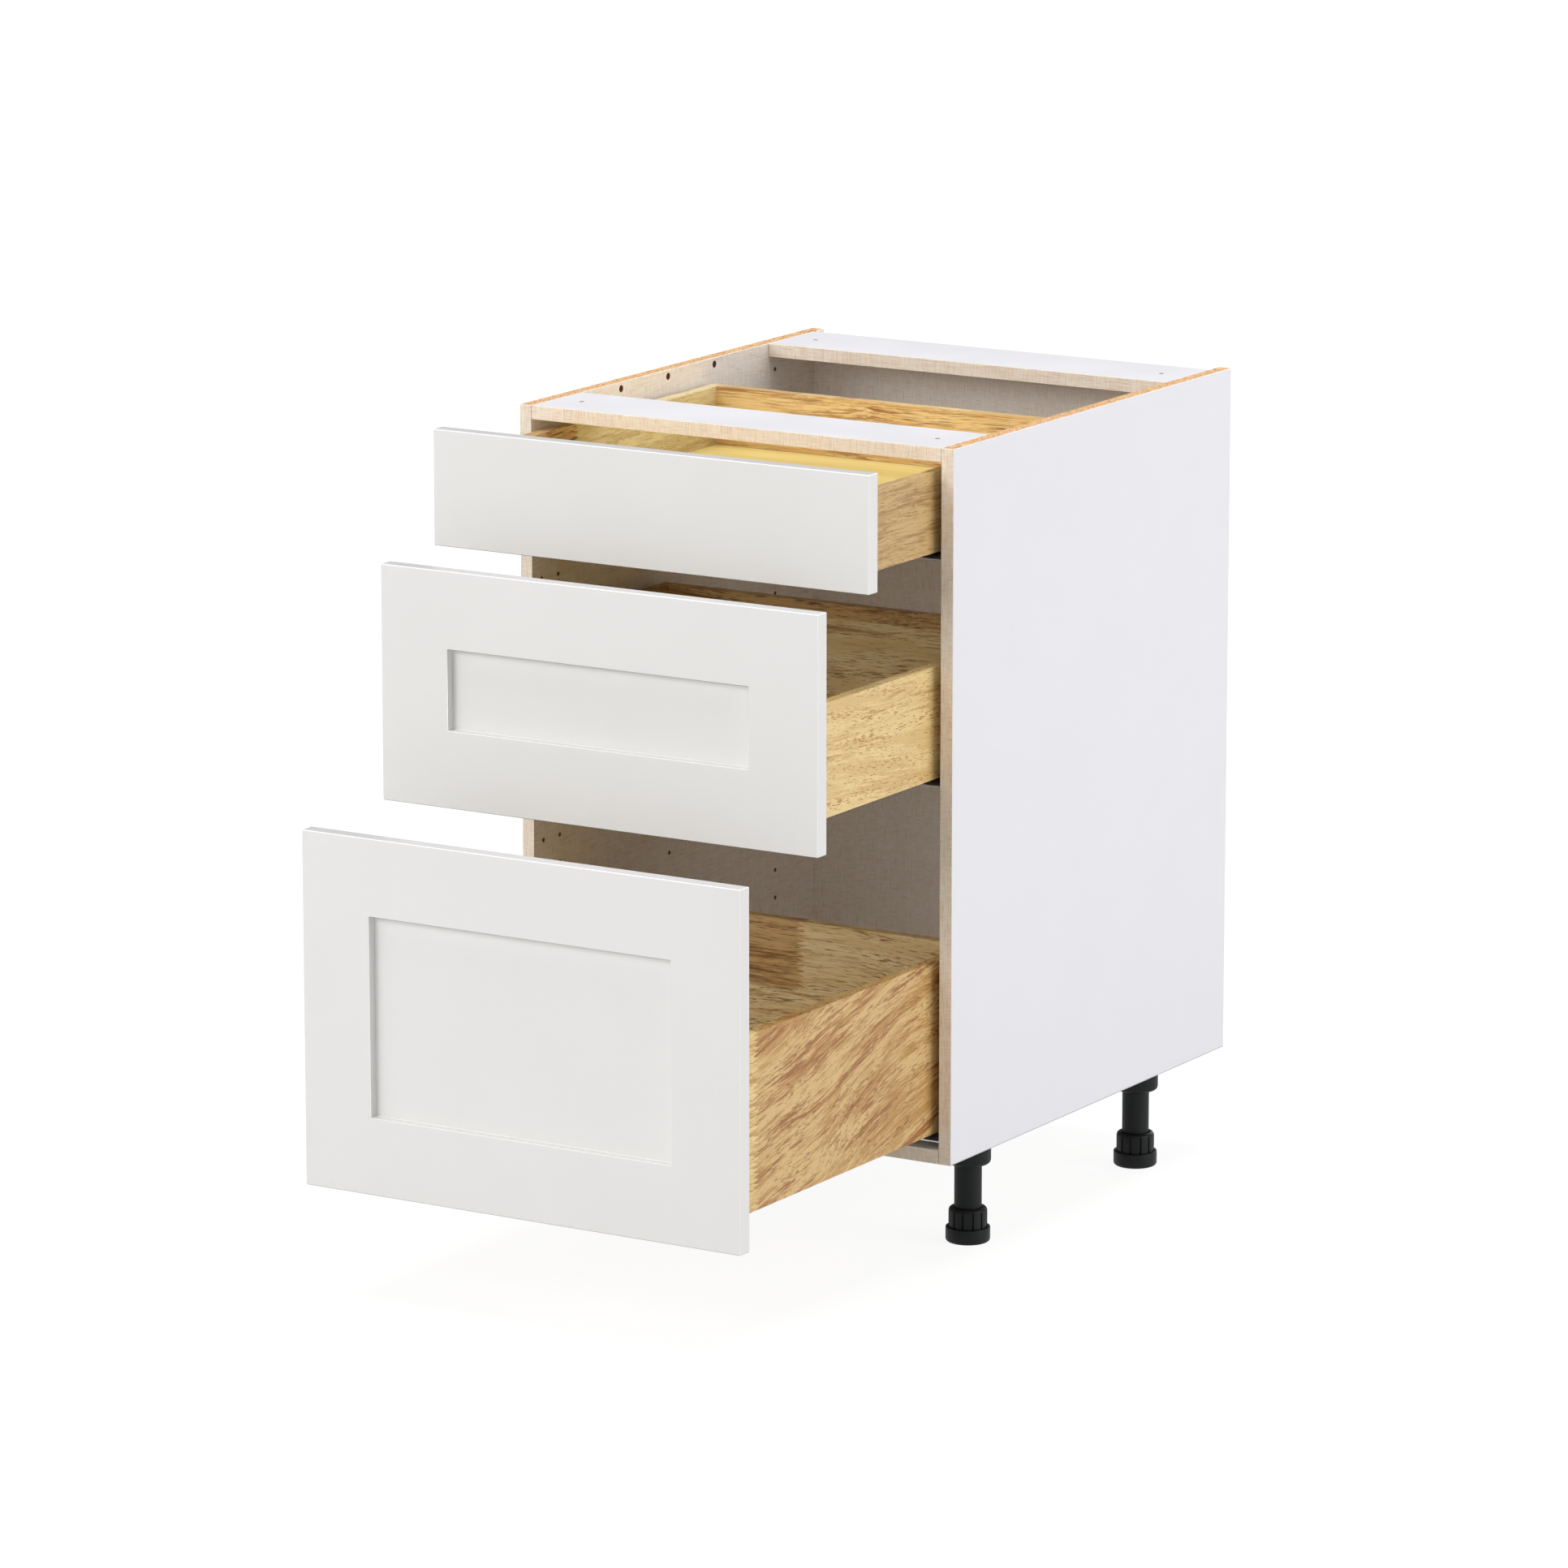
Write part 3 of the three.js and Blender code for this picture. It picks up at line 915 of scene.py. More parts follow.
@dataclass(frozen=True)
class WoodFinish(Finish):
    """Clear lacquered hardwood, glued up from planks.

    The middle is the middle of the board, and along says which axis the grain follows.
    """

    planks: tuple[Plank, ...]
    joints: tuple[Joint, ...]
    along: Axis
    middle: Triple
    depth: float = 0.05 * MM
    FINGER_PITCH: ClassVar[float] = 5.5 * MM
    FINGER_DEPTH: ClassVar[float] = 11 * MM
    ROUGHNESS: ClassVar[tuple[float, float]] = (0.55, 0.42)

    def board_place(self, desk: Desk) -> Socket:
        """The point on the surface, as the figure takes it, from the board's middle.

        Args:
            desk: The desk of the material's tree.

        Returns:
            The place along the grain, across it, and into the board.
        """
        centred = desk.moved(desk.place(), tuple(-value for value in self.middle))
        x, y, z = desk.parts(centred)
        return desk.joined(x, z, y) if self.along is Axis.X else desk.joined(y, z, x)

    def past(self, desk: Desk, place: Socket, joint: Joint) -> Socket:
        """The mask of what lies past a joint.

        Args:
            desk: The desk of the material's tree.
            place: The point, as board_place gives it.
            joint: The joint.

        Returns:
            The mask, 0 or 1.
        """
        across = desk.parts(place)[1]
        if joint.kind is JointKind.SEAM:
            return desk.maths("GREATER_THAN", across, joint.at)
        fingers = FINGER_JOINT.on(desk, Place=place, Line=joint.at, Pitch=self.FINGER_PITCH,
                                  Depth=self.FINGER_DEPTH)
        above = desk.maths("GREATER_THAN", across, joint.low)
        below = desk.maths("LESS_THAN", across, joint.high)
        return desk.maths("MULTIPLY", fingers["Past"], desk.maths("MULTIPLY", above, below))

    def figured(self, desk: Desk, place: Socket, plank: Plank) -> dict[str, Socket]:
        """The figure of one plank, cut at its own place and tilt.

        Args:
            desk: The desk of the material's tree.
            place: The point, as board_place gives it.
            plank: The plank.

        Returns:
            Its colour and height.
        """
        tilt = (0.0, 0.0, math.radians(plank.tilt))
        laid = {"Vector": place, "Location": plank.cut_at, "Rotation": tilt}
        return FIGURE.on(desk, Place=desk.add("ShaderNodeMapping", laid).outputs[0],
                         Light=plank.light, Middle=plank.middle, Dark=plank.dark,
                         Pore=plank.pore, Streaks=plank.streaks, Pores=plank.pores,
                         Waves=plank.waves, Run=plank.run)

    def wire(self, desk: Desk) -> dict[str, Any]:
        """Wires each plank and lays it over the ones before, past its joint.

        Args:
            desk: The desk of the material's tree.

        Returns:
            Values or sockets for the Principled shader's inputs.
        """
        place = self.board_place(desk)
        first = self.figured(desk, place, self.planks[0])
        colour, height = first["Colour"], first["Height"]
        for plank, joint in zip(self.planks[1:], self.joints, strict=True):
            mask = self.past(desk, place, joint)
            following = self.figured(desk, place, plank)
            colour = desk.mix(mask, colour, following["Colour"])
            height = desk.mix(mask, height, following["Height"])
        return {
            "Base Color": colour,
            "Roughness": desk.ramp(height, -0.5, 1.0, self.ROUGHNESS),
            "Normal": desk.bump(height, self.depth),
        }


@dataclass(frozen=True)
class VeneerFinish(Finish):
    """The smooth pale face of the drawer bottoms, with a faint long grain."""

    pale: Colour = srgb(240, 222, 146)
    deep: Colour = srgb(222, 196, 116)
    roughness: float = 0.4
    depth: float = 0.02 * MM
    BANDS: ClassVar[Triple] = (2.5, 26, 26)
    FIBRES: ClassVar[Triple] = (24, 700, 700)
    FIBRE_SHARE: ClassVar[float] = 0.35

    def wire(self, desk: Desk) -> dict[str, Any]:
        """Wires broad soft bands and faint fibres along X.

        Args:
            desk: The desk of the material's tree.

        Returns:
            Values or sockets for the Principled shader's inputs.
        """
        place = desk.place()
        bands, fibres = desk.noise(place, self.BANDS, 3, 0.6), desk.noise(place, self.FIBRES)
        grain = desk.maths("ADD", bands, desk.maths("MULTIPLY", fibres, self.FIBRE_SHARE))
        return {
            "Base Color": desk.mix(desk.ramp(grain, 0.45, 0.95), self.pale, self.deep),
            "Roughness": self.roughness,
            "Normal": desk.bump(fibres, self.depth),
        }


@dataclass(frozen=True)
class RolledSteelFinish(Finish):
    """Zinc-plated sheet with faint rolling marks along Y."""

    colour: Colour = srgb(206, 208, 208)
    roughness: float = 0.4
    metal: float = 0.8
    depth: float = 0.01 * MM
    MARKS: ClassVar[Triple] = (900, 8, 900)
    CLOUDS: ClassVar[Triple] = (60, 25, 60)
    DULL: ClassVar[float] = 0.72
    ROUGH_SPREAD: ClassVar[tuple[float, float]] = (0.8, 1.25)

    def wire(self, desk: Desk) -> dict[str, Any]:
        """Wires the rolling marks and the cloudy zinc.

        Args:
            desk: The desk of the material's tree.

        Returns:
            Values or sockets for the Principled shader's inputs.
        """
        place = desk.place()
        marks, clouds = desk.noise(place, self.MARKS), desk.noise(place, self.CLOUDS, 3)
        rough = tuple(self.roughness * spread for spread in self.ROUGH_SPREAD)
        dull = darker(self.colour, self.DULL)
        return {
            "Base Color": desk.mix(desk.ramp(clouds, 0.3, 0.7), dull, self.colour),
            "Metallic": self.metal,
            "Roughness": desk.ramp(marks, 0.3, 0.7, rough),
            "Normal": desk.bump(marks, self.depth),
        }


WHITE_BOARD = SmoothFinish("white_foil", srgb(236, 235, 240), 0.985, 0.42, 1.1 * MM, 0.012 * MM)
# Painted shade: grey foil for a strip along the lower edge of a side's outside, standing in for the
# shaded arris.
FOIL_PAINTED_SHADE = replace(WHITE_BOARD, label="foil_shade", colour=srgb(186, 186, 189))
PAINT = SmoothFinish("front_paint", srgb(233, 232, 230), 0.985, 0.36, 1.6 * MM, 0.01 * MM)
# Painted shade: a greyer paint for the fronts' top and bottom faces.
PAINT_EDGE_SHADE = replace(PAINT, label="front_edge_paint", colour=srgb(208, 206, 207), roughness=0.4)
# Painted shade: dark grey paint for the fronts' arrises that face down, which shows as dark lines.
PAINTED_SHADE_ARRIS = replace(PAINT_EDGE_SHADE, label="front_shade_paint", colour=srgb(132, 131, 130))
# Painted highlight: near-white paint for the fronts' rounded arrises, which shows as bright lines.
PAINTED_HIGHLIGHT_ARRIS = replace(PAINT, label="front_arris_paint", colour=srgb(254, 254, 253), mottle=0.99,
                      roughness=0.3, shine=1.0)
LEG_PLASTIC = SmoothFinish("black_plastic", srgb(17, 20, 21), 0.8, 0.5, 0.5 * MM, 0.02 * MM,
                           shine=0.22)
SCREW_STEEL = SmoothFinish("screw_steel", srgb(180, 180, 176), 0.8, 0.3, 0.4 * MM, 0.005 * MM,
                           metal=1.0)
RAIL_STEEL = RolledSteelFinish("rolled_steel")
LINEN = LinenFinish("linen_upright")
LINEN_LEVEL = replace(LINEN, label="linen_level", level=True)
LINEN_BAND = replace(LINEN, label="linen_edge_band", light=srgb(245, 235, 220),
                     deep=srgb(233, 216, 196), line=srgb(216, 178, 148))
BAND_ARRIS = SmoothFinish("edge_band_arris", srgb(186, 156, 130), 0.95, 0.5, 0.7 * MM, 0.01 * MM)
RAW_CHIPS = ChipFinish("raw_chips")
BOTTOM_VENEER = VeneerFinish("bottom_veneer")
DRILLED = SmoothFinish("drilled_hole", srgb(170, 120, 84), 0.7, 0.9, 0.5 * MM, 0.1 * MM)
RAW_BACK = SmoothFinish("raw_back", srgb(176, 132, 92), 0.9, 0.75, 0.7 * MM, 0.05 * MM)


def dress(piece: Piece, finish: Finish, *others: tuple[Finish, FaceTest]) -> None:
    """Gives a piece its finish, and other finishes to the faces that pass a test.

    Args:
        piece: The piece.
        finish: What all of it wears.
        *others: Further finishes, each with the test for its faces. Later ones win.
    """
    piece.data.materials.clear()
    piece.data.materials.append(finish.material())
    for other, wanted in others:
        piece.data.materials.append(other.material())
        with editing(piece, Pick.FACES):
            piece.active_material_index = len(piece.data.materials) - 1
            select_faces(wanted)
            bpy.ops.object.material_slot_assign()


# ---- Carcass -----------------------------------------------------------------------------


@dataclass
class Carcass:
    """The box of the cabinet: two sides, bottom, back and two stretchers.

    A side is -1 for the left one and 1 for the right one. A hole's place is how far it is behind
    the board's front and over its lower edge. A skin is how near to a face or a hole a point
    counts as on it. The shade is the height of the strip of painted shade along the lower edge of
    a side's outside foil.
    """

    band: float = 1.0 * MM
    arris: float = 0.5 * MM
    shade: float = 1.2 * MM
    skin: float = 0.5 * MM
    groove_depth: float = 6 * MM
    groove_play: float = 0.3 * MM
    over: float = 5 * MM
    hole_depth: float = 11 * MM
    hole_skin: float = 0.2 * MM
    runner_hole: float = 2.5 * MM
    fitting_hole: float = 4.0 * MM
    stretcher_hole: float = 3.0 * MM
    stretcher_hole_inset: tuple[float, float] = (32.5 * MM, 48 * MM)
    runner_holes: tuple[tuple[float, float], ...] = (
        (18 * MM, 286 * MM), (50.3 * MM, 286 * MM), (50.3 * MM, 256 * MM), (271.4 * MM, 223 * MM),
        (495 * MM, 159.5 * MM), (495 * MM, 127.6 * MM), (18 * MM, 572 * MM),
        (50.3 * MM, 572 * MM), (495 * MM, 477 * MM), (495 * MM, 731 * MM),
    )
    fitting_holes: tuple[tuple[float, float], ...] = (
        (177 * MM, 754.5 * MM), (272.2 * MM, 754.5 * MM), (367.4 * MM, 754.5 * MM),
    )

    def build(self) -> None:
        """Builds and dresses every board of the carcass."""
        for side in (-1, 1):
            self.side_board(side)
        self.bottom_board()
        self.back_board()
        for end in ("front", "rear"):
            self.stretcher(end)

    def holes(self) -> list[Triple]:
        """Every hole of a side board: its place and its radius."""
        runner = [(back, up, self.runner_hole) for back, up in self.runner_holes]
        return runner + [(back, up, self.fitting_hole) for back, up in self.fitting_holes]

    def drills(self, side: int, face: float, low: Vector) -> list[Piece]:
        """Round cutters that enter a side board from its inner face.

        Args:
            side: The side.
            face: The X of the inner face.
            low: The board's lowest corner.

        Returns:
            The cutters.
        """
        middle = face + side * (self.hole_depth - self.over) / 2
        length = self.hole_depth + self.over
        return [rod("drill", Vector((middle, low.y + back, low.z + up)), Axis.X, radius, length)
                for back, up, radius in self.holes()]

    def in_holes(self, at: Vector, depth: float, low: Vector) -> bool:
        """Whether a point is inside one of a side board's holes.

        Args:
            at: The point.
            depth: How deep it lies under the inner face.
            low: The board's lowest corner.

        Returns:
            True where it is.
        """
        skin = self.hole_skin
        return skin <= depth < self.hole_depth + skin and any(
            math.hypot(at.y - low.y - back, at.z - low.z - up) < radius + skin
            for back, up, radius in self.holes()
        )

    def groove_cutter(self, start: float, stop: float, top: float) -> Piece:
        """A block that cuts the groove for the back.

        Args:
            start: The X that it starts at.
            stop: The X that it ends at.
            top: The upper edge of the board that it cuts.

        Returns:
            The cutter.
        """
        low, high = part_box("back_panel")
        play = self.groove_play
        return block("groove_cutter", Vector((start, low.y - play, low.z - play)),
                     Vector((stop, high.y + play, top + self.over)))

    def side_board(self, side: int) -> None:
        """One side: foil outside with a strip of painted shade along its lower edge, linen inside
        and on the front band, raw chips elsewhere.

        Args:
            side: The side.
        """
        name = "right" if side > 0 else "left"
        low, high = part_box(f"{name}_side_panel")
        face, outer = (low.x, high.x) if side > 0 else (high.x, low.x)
        board = block(f"{name}_side_board", low, high)
        ease_edges(board, self.arris, 1)
        # The second plane marks off the strip of painted shade along the lower edge.
        with editing(board, Pick.FACES):
            for at, normal in (((0, low.y + self.band, 0), (0, 1, 0)),
                               ((0, 0, low.z + self.shade), (0, 0, 1))):
                bpy.ops.mesh.select_all(action="SELECT")
                bpy.ops.mesh.bisect(plane_co=at, plane_no=normal)
        start, stop = sorted((face - side * self.over, face + side * self.groove_depth))
        cut(board, [*self.drills(side, face, low), self.groove_cutter(start, stop, high.z)])

        def near(at: Vector, plane: float) -> bool:
            """Whether a point is on a plane across X."""
            return abs(at.x - plane) < self.skin

        dress(
            board, RAW_CHIPS,
            (DRILLED, lambda at, _: self.in_holes(at, side * (at.x - face), low)),
            (WHITE_BOARD, lambda at, _: near(at, outer)),
            # Painted shade: a grey strip along the lower edge of the outside foil.
            (FOIL_PAINTED_SHADE, lambda at, _: near(at, outer) and at.z < low.z + self.shade),
            (LINEN, lambda at, normal: near(at, face) and abs(normal.x) > FACING),
            (LINEN_BAND, lambda at, _: at.y < low.y + self.band and not near(at, outer)),
            (BAND_ARRIS, lambda at, normal: near(at, face) and normal.y < -LEANING),
        )
        mount(board, "cabinet", "white_board", f"{name}_side_panel")

    def bottom_board(self) -> None:
        """The bottom, with linen all over and a groove for the back."""
        low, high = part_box("bottom_panel")
        board = block("bottom_board", low, high)
        cut(board, [self.groove_cutter(low.x - self.over, high.x + self.over, high.z)])
        dress(
            board, RAW_CHIPS,
            (LINEN_LEVEL, lambda _, normal: abs(normal.z) > FACING),
            (LINEN_BAND, lambda at, _: at.y < low.y + self.band),
        )
        mount(board, "cabinet", "linen_board", "bottom_panel")

    def back_board(self) -> None:
        """The thin back, linen inside and raw behind."""
        board = block("back_board", *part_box("back_panel"))
        ease_edges(board, self.arris, 1)
        dress(board, RAW_BACK, (LINEN, lambda _, normal: normal.y < -FACING))
        mount(board, "cabinet", "linen_board", "back_panel")

    def stretcher(self, end: str) -> None:
        """One stretcher: white foil on its broad faces, two edge bands and two screw holes.

        Args:
            end: The end of the cabinet that it is at.
        """
        low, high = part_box(f"{end}_stretcher")
        board = block(f"{end}_stretcher_board", low, high)
        ease_edges(board, self.arris, 1)
        inset, behind = self.stretcher_hole_inset
        middle, length = (low.z + high.z) / 2, high.z - low.z + self.over
        cut(board, [
            rod("drill", Vector((x, low.y + behind, middle)), Axis.Z, self.stretcher_hole, length)
            for x in (low.x + inset, high.x - inset)
        ])
        dress(
            board, RAW_CHIPS,
            (WHITE_BOARD, lambda _, normal: abs(normal.z) > CHAMFERED),
            (LINEN_BAND, lambda at, normal: at.y < low.y + self.band and normal.y < -FACING),
            (LINEN_BAND, lambda at, normal: at.y > high.y - self.band and normal.y > FACING),
        )
        mount(board, "cabinet", "white_board", f"{end}_stretcher")


# ---- Drawers -----------------------------------------------------------------------------

Glued = tuple[tuple[Plank, ...], tuple[Joint, ...]]

HONEY = Plank(srgb(206, 173, 118), srgb(176, 138, 86), srgb(146, 102, 54), srgb(146, 100, 56),
              streaks=0.5, pores=0.6, run=0.7)
STRAW = Plank(srgb(236, 208, 148), srgb(223, 190, 128), srgb(186, 134, 72), srgb(174, 118, 60),
              streaks=0.8, pores=0.9, waves=0.02, run=0.5, tilt=5)
AMBER = Plank(srgb(219, 184, 125), srgb(190, 145, 84), srgb(160, 104, 49), srgb(134, 86, 42),
              streaks=1.0, waves=0.05, run=0.8, tilt=-14)
UMBER = Plank(srgb(222, 188, 136), srgb(194, 154, 104), srgb(138, 96, 54), srgb(108, 72, 40),
              streaks=0.9, pores=0.9, run=1.5)
OLIVE = Plank(srgb(249, 231, 188), srgb(235, 210, 160), srgb(190, 152, 102), streaks=0.5, run=1.3)
GOLD = Plank(srgb(238, 206, 146), srgb(218, 178, 114), srgb(160, 106, 54), srgb(128, 82, 42),
             streaks=0.7, pores=0.6, run=4.0)
PALE = Plank(srgb(230, 214, 166), srgb(210, 190, 140), srgb(178, 144, 94), srgb(162, 124, 76),
             streaks=0.3, pores=0.4, run=0.6)

# How far apart two cuts of the same kind of plank are in the log.
LOG_STEP: Triple = (1.7, 0.61, 0.37)


def cut_elsewhere(plank: Plank, number: int, **changes: Any) -> Plank:
    """The same kind of plank, cut from another place in the log.

    Args:
        plank: The kind of plank.
        number: Which cut it is.
        **changes: Values that differ from the plank's.

    Returns:
        The new plank.
    """
    return replace(plank, cut_at=tuple(step * number for step in LOG_STEP), **changes)


class FrontKind(Enum):
    """How a drawer front is made."""

    SLAB = "slab"
    FRAMED = "framed"


@dataclass
class Drawer:
    """One drawer: its front and its wooden box.

    Each board of the box is given by its planks and the joints between them.
    """

    name: str
    kind: FrontKind
    side: Glued
    rear: Glued
    far_side: Glued
    rounding_steps: int = 3
    edge_rounding: float = 1.3 * MM
    mouth_rounding: float = 0.9 * MM
    board_rounding: float = 0.9 * MM
    bottom_arris: float = 0.3 * MM
    lip_and_play: float = 7.7 * MM
    groove_play: float = 0.3 * MM
    notch: float = 25 * MM
    over: float = 5 * MM

    @property
    def body(self) -> str:
        """The body that the drawer's pieces ride on."""
        return f"{self.name}_drawer"

    def build(self) -> None:
        """Builds the front and the box."""
        if self.kind is FrontKind.SLAB:
            self.slab_front()
        else:
            self.framed_front()
        for side in ("left", "right"):
            self.side_board(side)
        self.cross_board("front")
        self.cross_board("rear")
        self.bottom()

    def slab_front(self) -> None:
        """A plain painted front with rounded edges."""
        low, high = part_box(f"{self.name}_front")
        front = block(f"{self.name}_slab", low, high)
        ease_edges(front, self.edge_rounding, self.rounding_steps)
        self.paint(front, low, high)
        mount(front, self.body, "painted_front", f"{self.name}_front")

    def paint(self, front: Piece, low: Vector, high: Vector) -> None:
        """Paints a front, with painted light: painted shade on its top and bottom faces, a painted
        highlight on its arrises, and painted shade on the arrises that face down.

        Args:
            front: The front.
            low: The low corner of its box.
            high: The high corner of its box.
        """
        flatten(front)
        dress(
            front, PAINT,
            # Painted shade on the top and bottom faces.
            (PAINT_EDGE_SHADE, lambda at, _: min(abs(at.z - low.z), abs(at.z - high.z)) < TOUCH),
            # Painted highlight on the arrises.
            (PAINTED_HIGHLIGHT_ARRIS, lambda _, normal: max(abs(part) for part in normal) < SQUARE),
            # Painted shade on the arrises that face down.
            (PAINTED_SHADE_ARRIS, lambda _, normal: -SQUARE < normal.z < -LEANING),
        )

    def framed_front(self) -> None:
        """A painted frame around a panel set back, with the rounded edges of a cutter."""
        nodes = (f"{self.name}_front_frame", f"{self.name}_front_panel")
        low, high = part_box(nodes[0])
        panel_low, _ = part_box(nodes[1])
        width = panel_low.x - low.x + self.lip_and_play
        ledge = low.z + width
        front = block(f"{self.name}_framed_front", low, high)
        with editing(front, Pick.FACES):
            select_faces(lambda _, normal: normal.y < -FACING)
            bpy.ops.mesh.inset(thickness=width, depth=0, use_even_offset=True)
            bpy.ops.mesh.extrude_region_move(
                TRANSFORM_OT_translate={"value": (0, panel_low.y - low.y, 0)})

        def gaps(at: Vector) -> tuple[float, float, float, float]:
            """How far a point is inside each of the front's four outer faces."""
            return at.x - low.x, high.x - at.x, at.z - low.z, high.z - at.z

        def on_outline(at: Vector) -> bool:
            """Whether a point is on one of the outer faces."""
            return min(abs(gap) for gap in gaps(at)) < TOUCH

        def on_mouth(at: Vector) -> bool:
            """Whether a point is on the frame's inner edges, at its front."""
            return abs(at.y - low.y) < TOUCH and min(gaps(at)) > width - TOUCH

        def on_ledge(at: Vector) -> bool:
            """Whether a point is where the panel meets the lower member."""
            return max(abs(at.y - panel_low.y), abs(at.z - ledge)) < TOUCH

        with editing(front, Pick.EDGES):
            round_edges(on_outline, self.edge_rounding, self.rounding_steps)
            round_edges(on_mouth, self.mouth_rounding, self.rounding_steps)
            round_edges(on_ledge, self.mouth_rounding, self.rounding_steps)
        self.paint(front, low, high)
        mount(front, self.body, "painted_front", *nodes)

    def wood(self, board: str, glued: Glued, along: Axis) -> Finish:
        """The wood of one board, with its figure centred on the board."""
        low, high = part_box(board)
        return WoodFinish(f"{board}_wood", *glued, along, tuple((low + high) / 2))

    def side_board(self, side: str) -> None:
        """One side of the box, with a groove for the bottom.

        Args:
            side: The side that it is on.
        """
        node = f"{self.name}_box_{side}"
        board = block(f"{self.name}_{side}_board", *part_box(node))
        ease_edges(board, self.board_rounding, self.rounding_steps)
        cut(board, [self.groove_cutter()])
        flatten(board)
        glued = self.side if side == "right" else self.far_side
        dress(board, self.wood(node, glued, Axis.Y))
        mount(board, self.body, "box_wood", node)

    def groove_cutter(self) -> Piece:
        """A block that is a little larger than the drawer's bottom.

        Returns:
            The cutter.
        """
        low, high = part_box(f"{self.name}_box_bottom")
        play = Vector((self.groove_play,) * 3)
        return block("groove_cutter", low - play, high + play)

    def cross_board(self, end: str) -> None:
        """The box's front or rear board; the rear one is notched for the runners.

        Args:
            end: The end of the box that it is at.
        """
        node = f"{self.name}_box_{end}"
        low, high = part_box(node)
        board = block(f"{self.name}_{end}_board", low, high)
        cutters = [self.groove_cutter()]
        if end == "rear":
            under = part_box(f"{self.name}_box_bottom")[0].z
            for start, stop in ((low.x - self.over, low.x + self.notch),
                                (high.x - self.notch, high.x + self.over)):
                cutters.append(block("notch_cutter",
                                     Vector((start, low.y - self.over, low.z - self.over)),
                                     Vector((stop, high.y + self.over, under))))
        cut(board, cutters)
        dress(board, self.wood(node, self.rear, Axis.X))
        mount(board, self.body, "box_wood", node)

    def bottom(self) -> None:
        """The thin bottom in its grooves."""
        node = f"{self.name}_box_bottom"
        board = block(f"{self.name}_bottom_board", *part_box(node))
        ease_edges(board, self.bottom_arris, 1)
        dress(board, BOTTOM_VENEER)
        mount(board, self.body, "box_bottom", node)


SEAM, FINGERS = JointKind.SEAM, JointKind.FINGERS

TOP_DRAWER = Drawer(
    "top", FrontKind.SLAB,
    side=((HONEY, cut_elsewhere(HONEY, 3)), (Joint(SEAM, 0.002),)),
    rear=((GOLD, cut_elsewhere(GOLD, 2, streaks=1.0, run=3.0)), (Joint(FINGERS, -0.03),)),
    far_side=((cut_elsewhere(UMBER, 6), PALE), (Joint(FINGERS, -0.04),)),
)
MIDDLE_DRAWER = Drawer(
    "middle", FrontKind.FRAMED,
    side=((cut_elsewhere(STRAW, 5, streaks=0.2), cut_elsewhere(STRAW, 9, tilt=3)),
          (Joint(SEAM, 0.001),)),
    rear=((cut_elsewhere(OLIVE, 8, streaks=0.9, pores=0.7, run=1.6), cut_elsewhere(UMBER, 5)),
          (Joint(SEAM, 0.0445),)),
    far_side=((cut_elsewhere(UMBER, 4), cut_elsewhere(HONEY, 7)), (Joint(SEAM, 0.01),)),
)
BOTTOM_DRAWER = Drawer(
    "bottom", FrontKind.FRAMED,
    side=((cut_elsewhere(STRAW, 12, run=1.0), cut_elsewhere(AMBER, 3)), (Joint(FINGERS, -0.197),)),
    rear=((cut_elsewhere(OLIVE, 11, streaks=0.8), cut_elsewhere(UMBER, 2), cut_elsewhere(OLIVE, 3)),
          (Joint(SEAM, 0.018), Joint(FINGERS, 0.0345, low=0.018))),
    far_side=((cut_elsewhere(HONEY, 14), cut_elsewhere(OLIVE, 15)), (Joint(SEAM, 0.03),)),
)


# ---- Runners -----------------------------------------------------------------------------


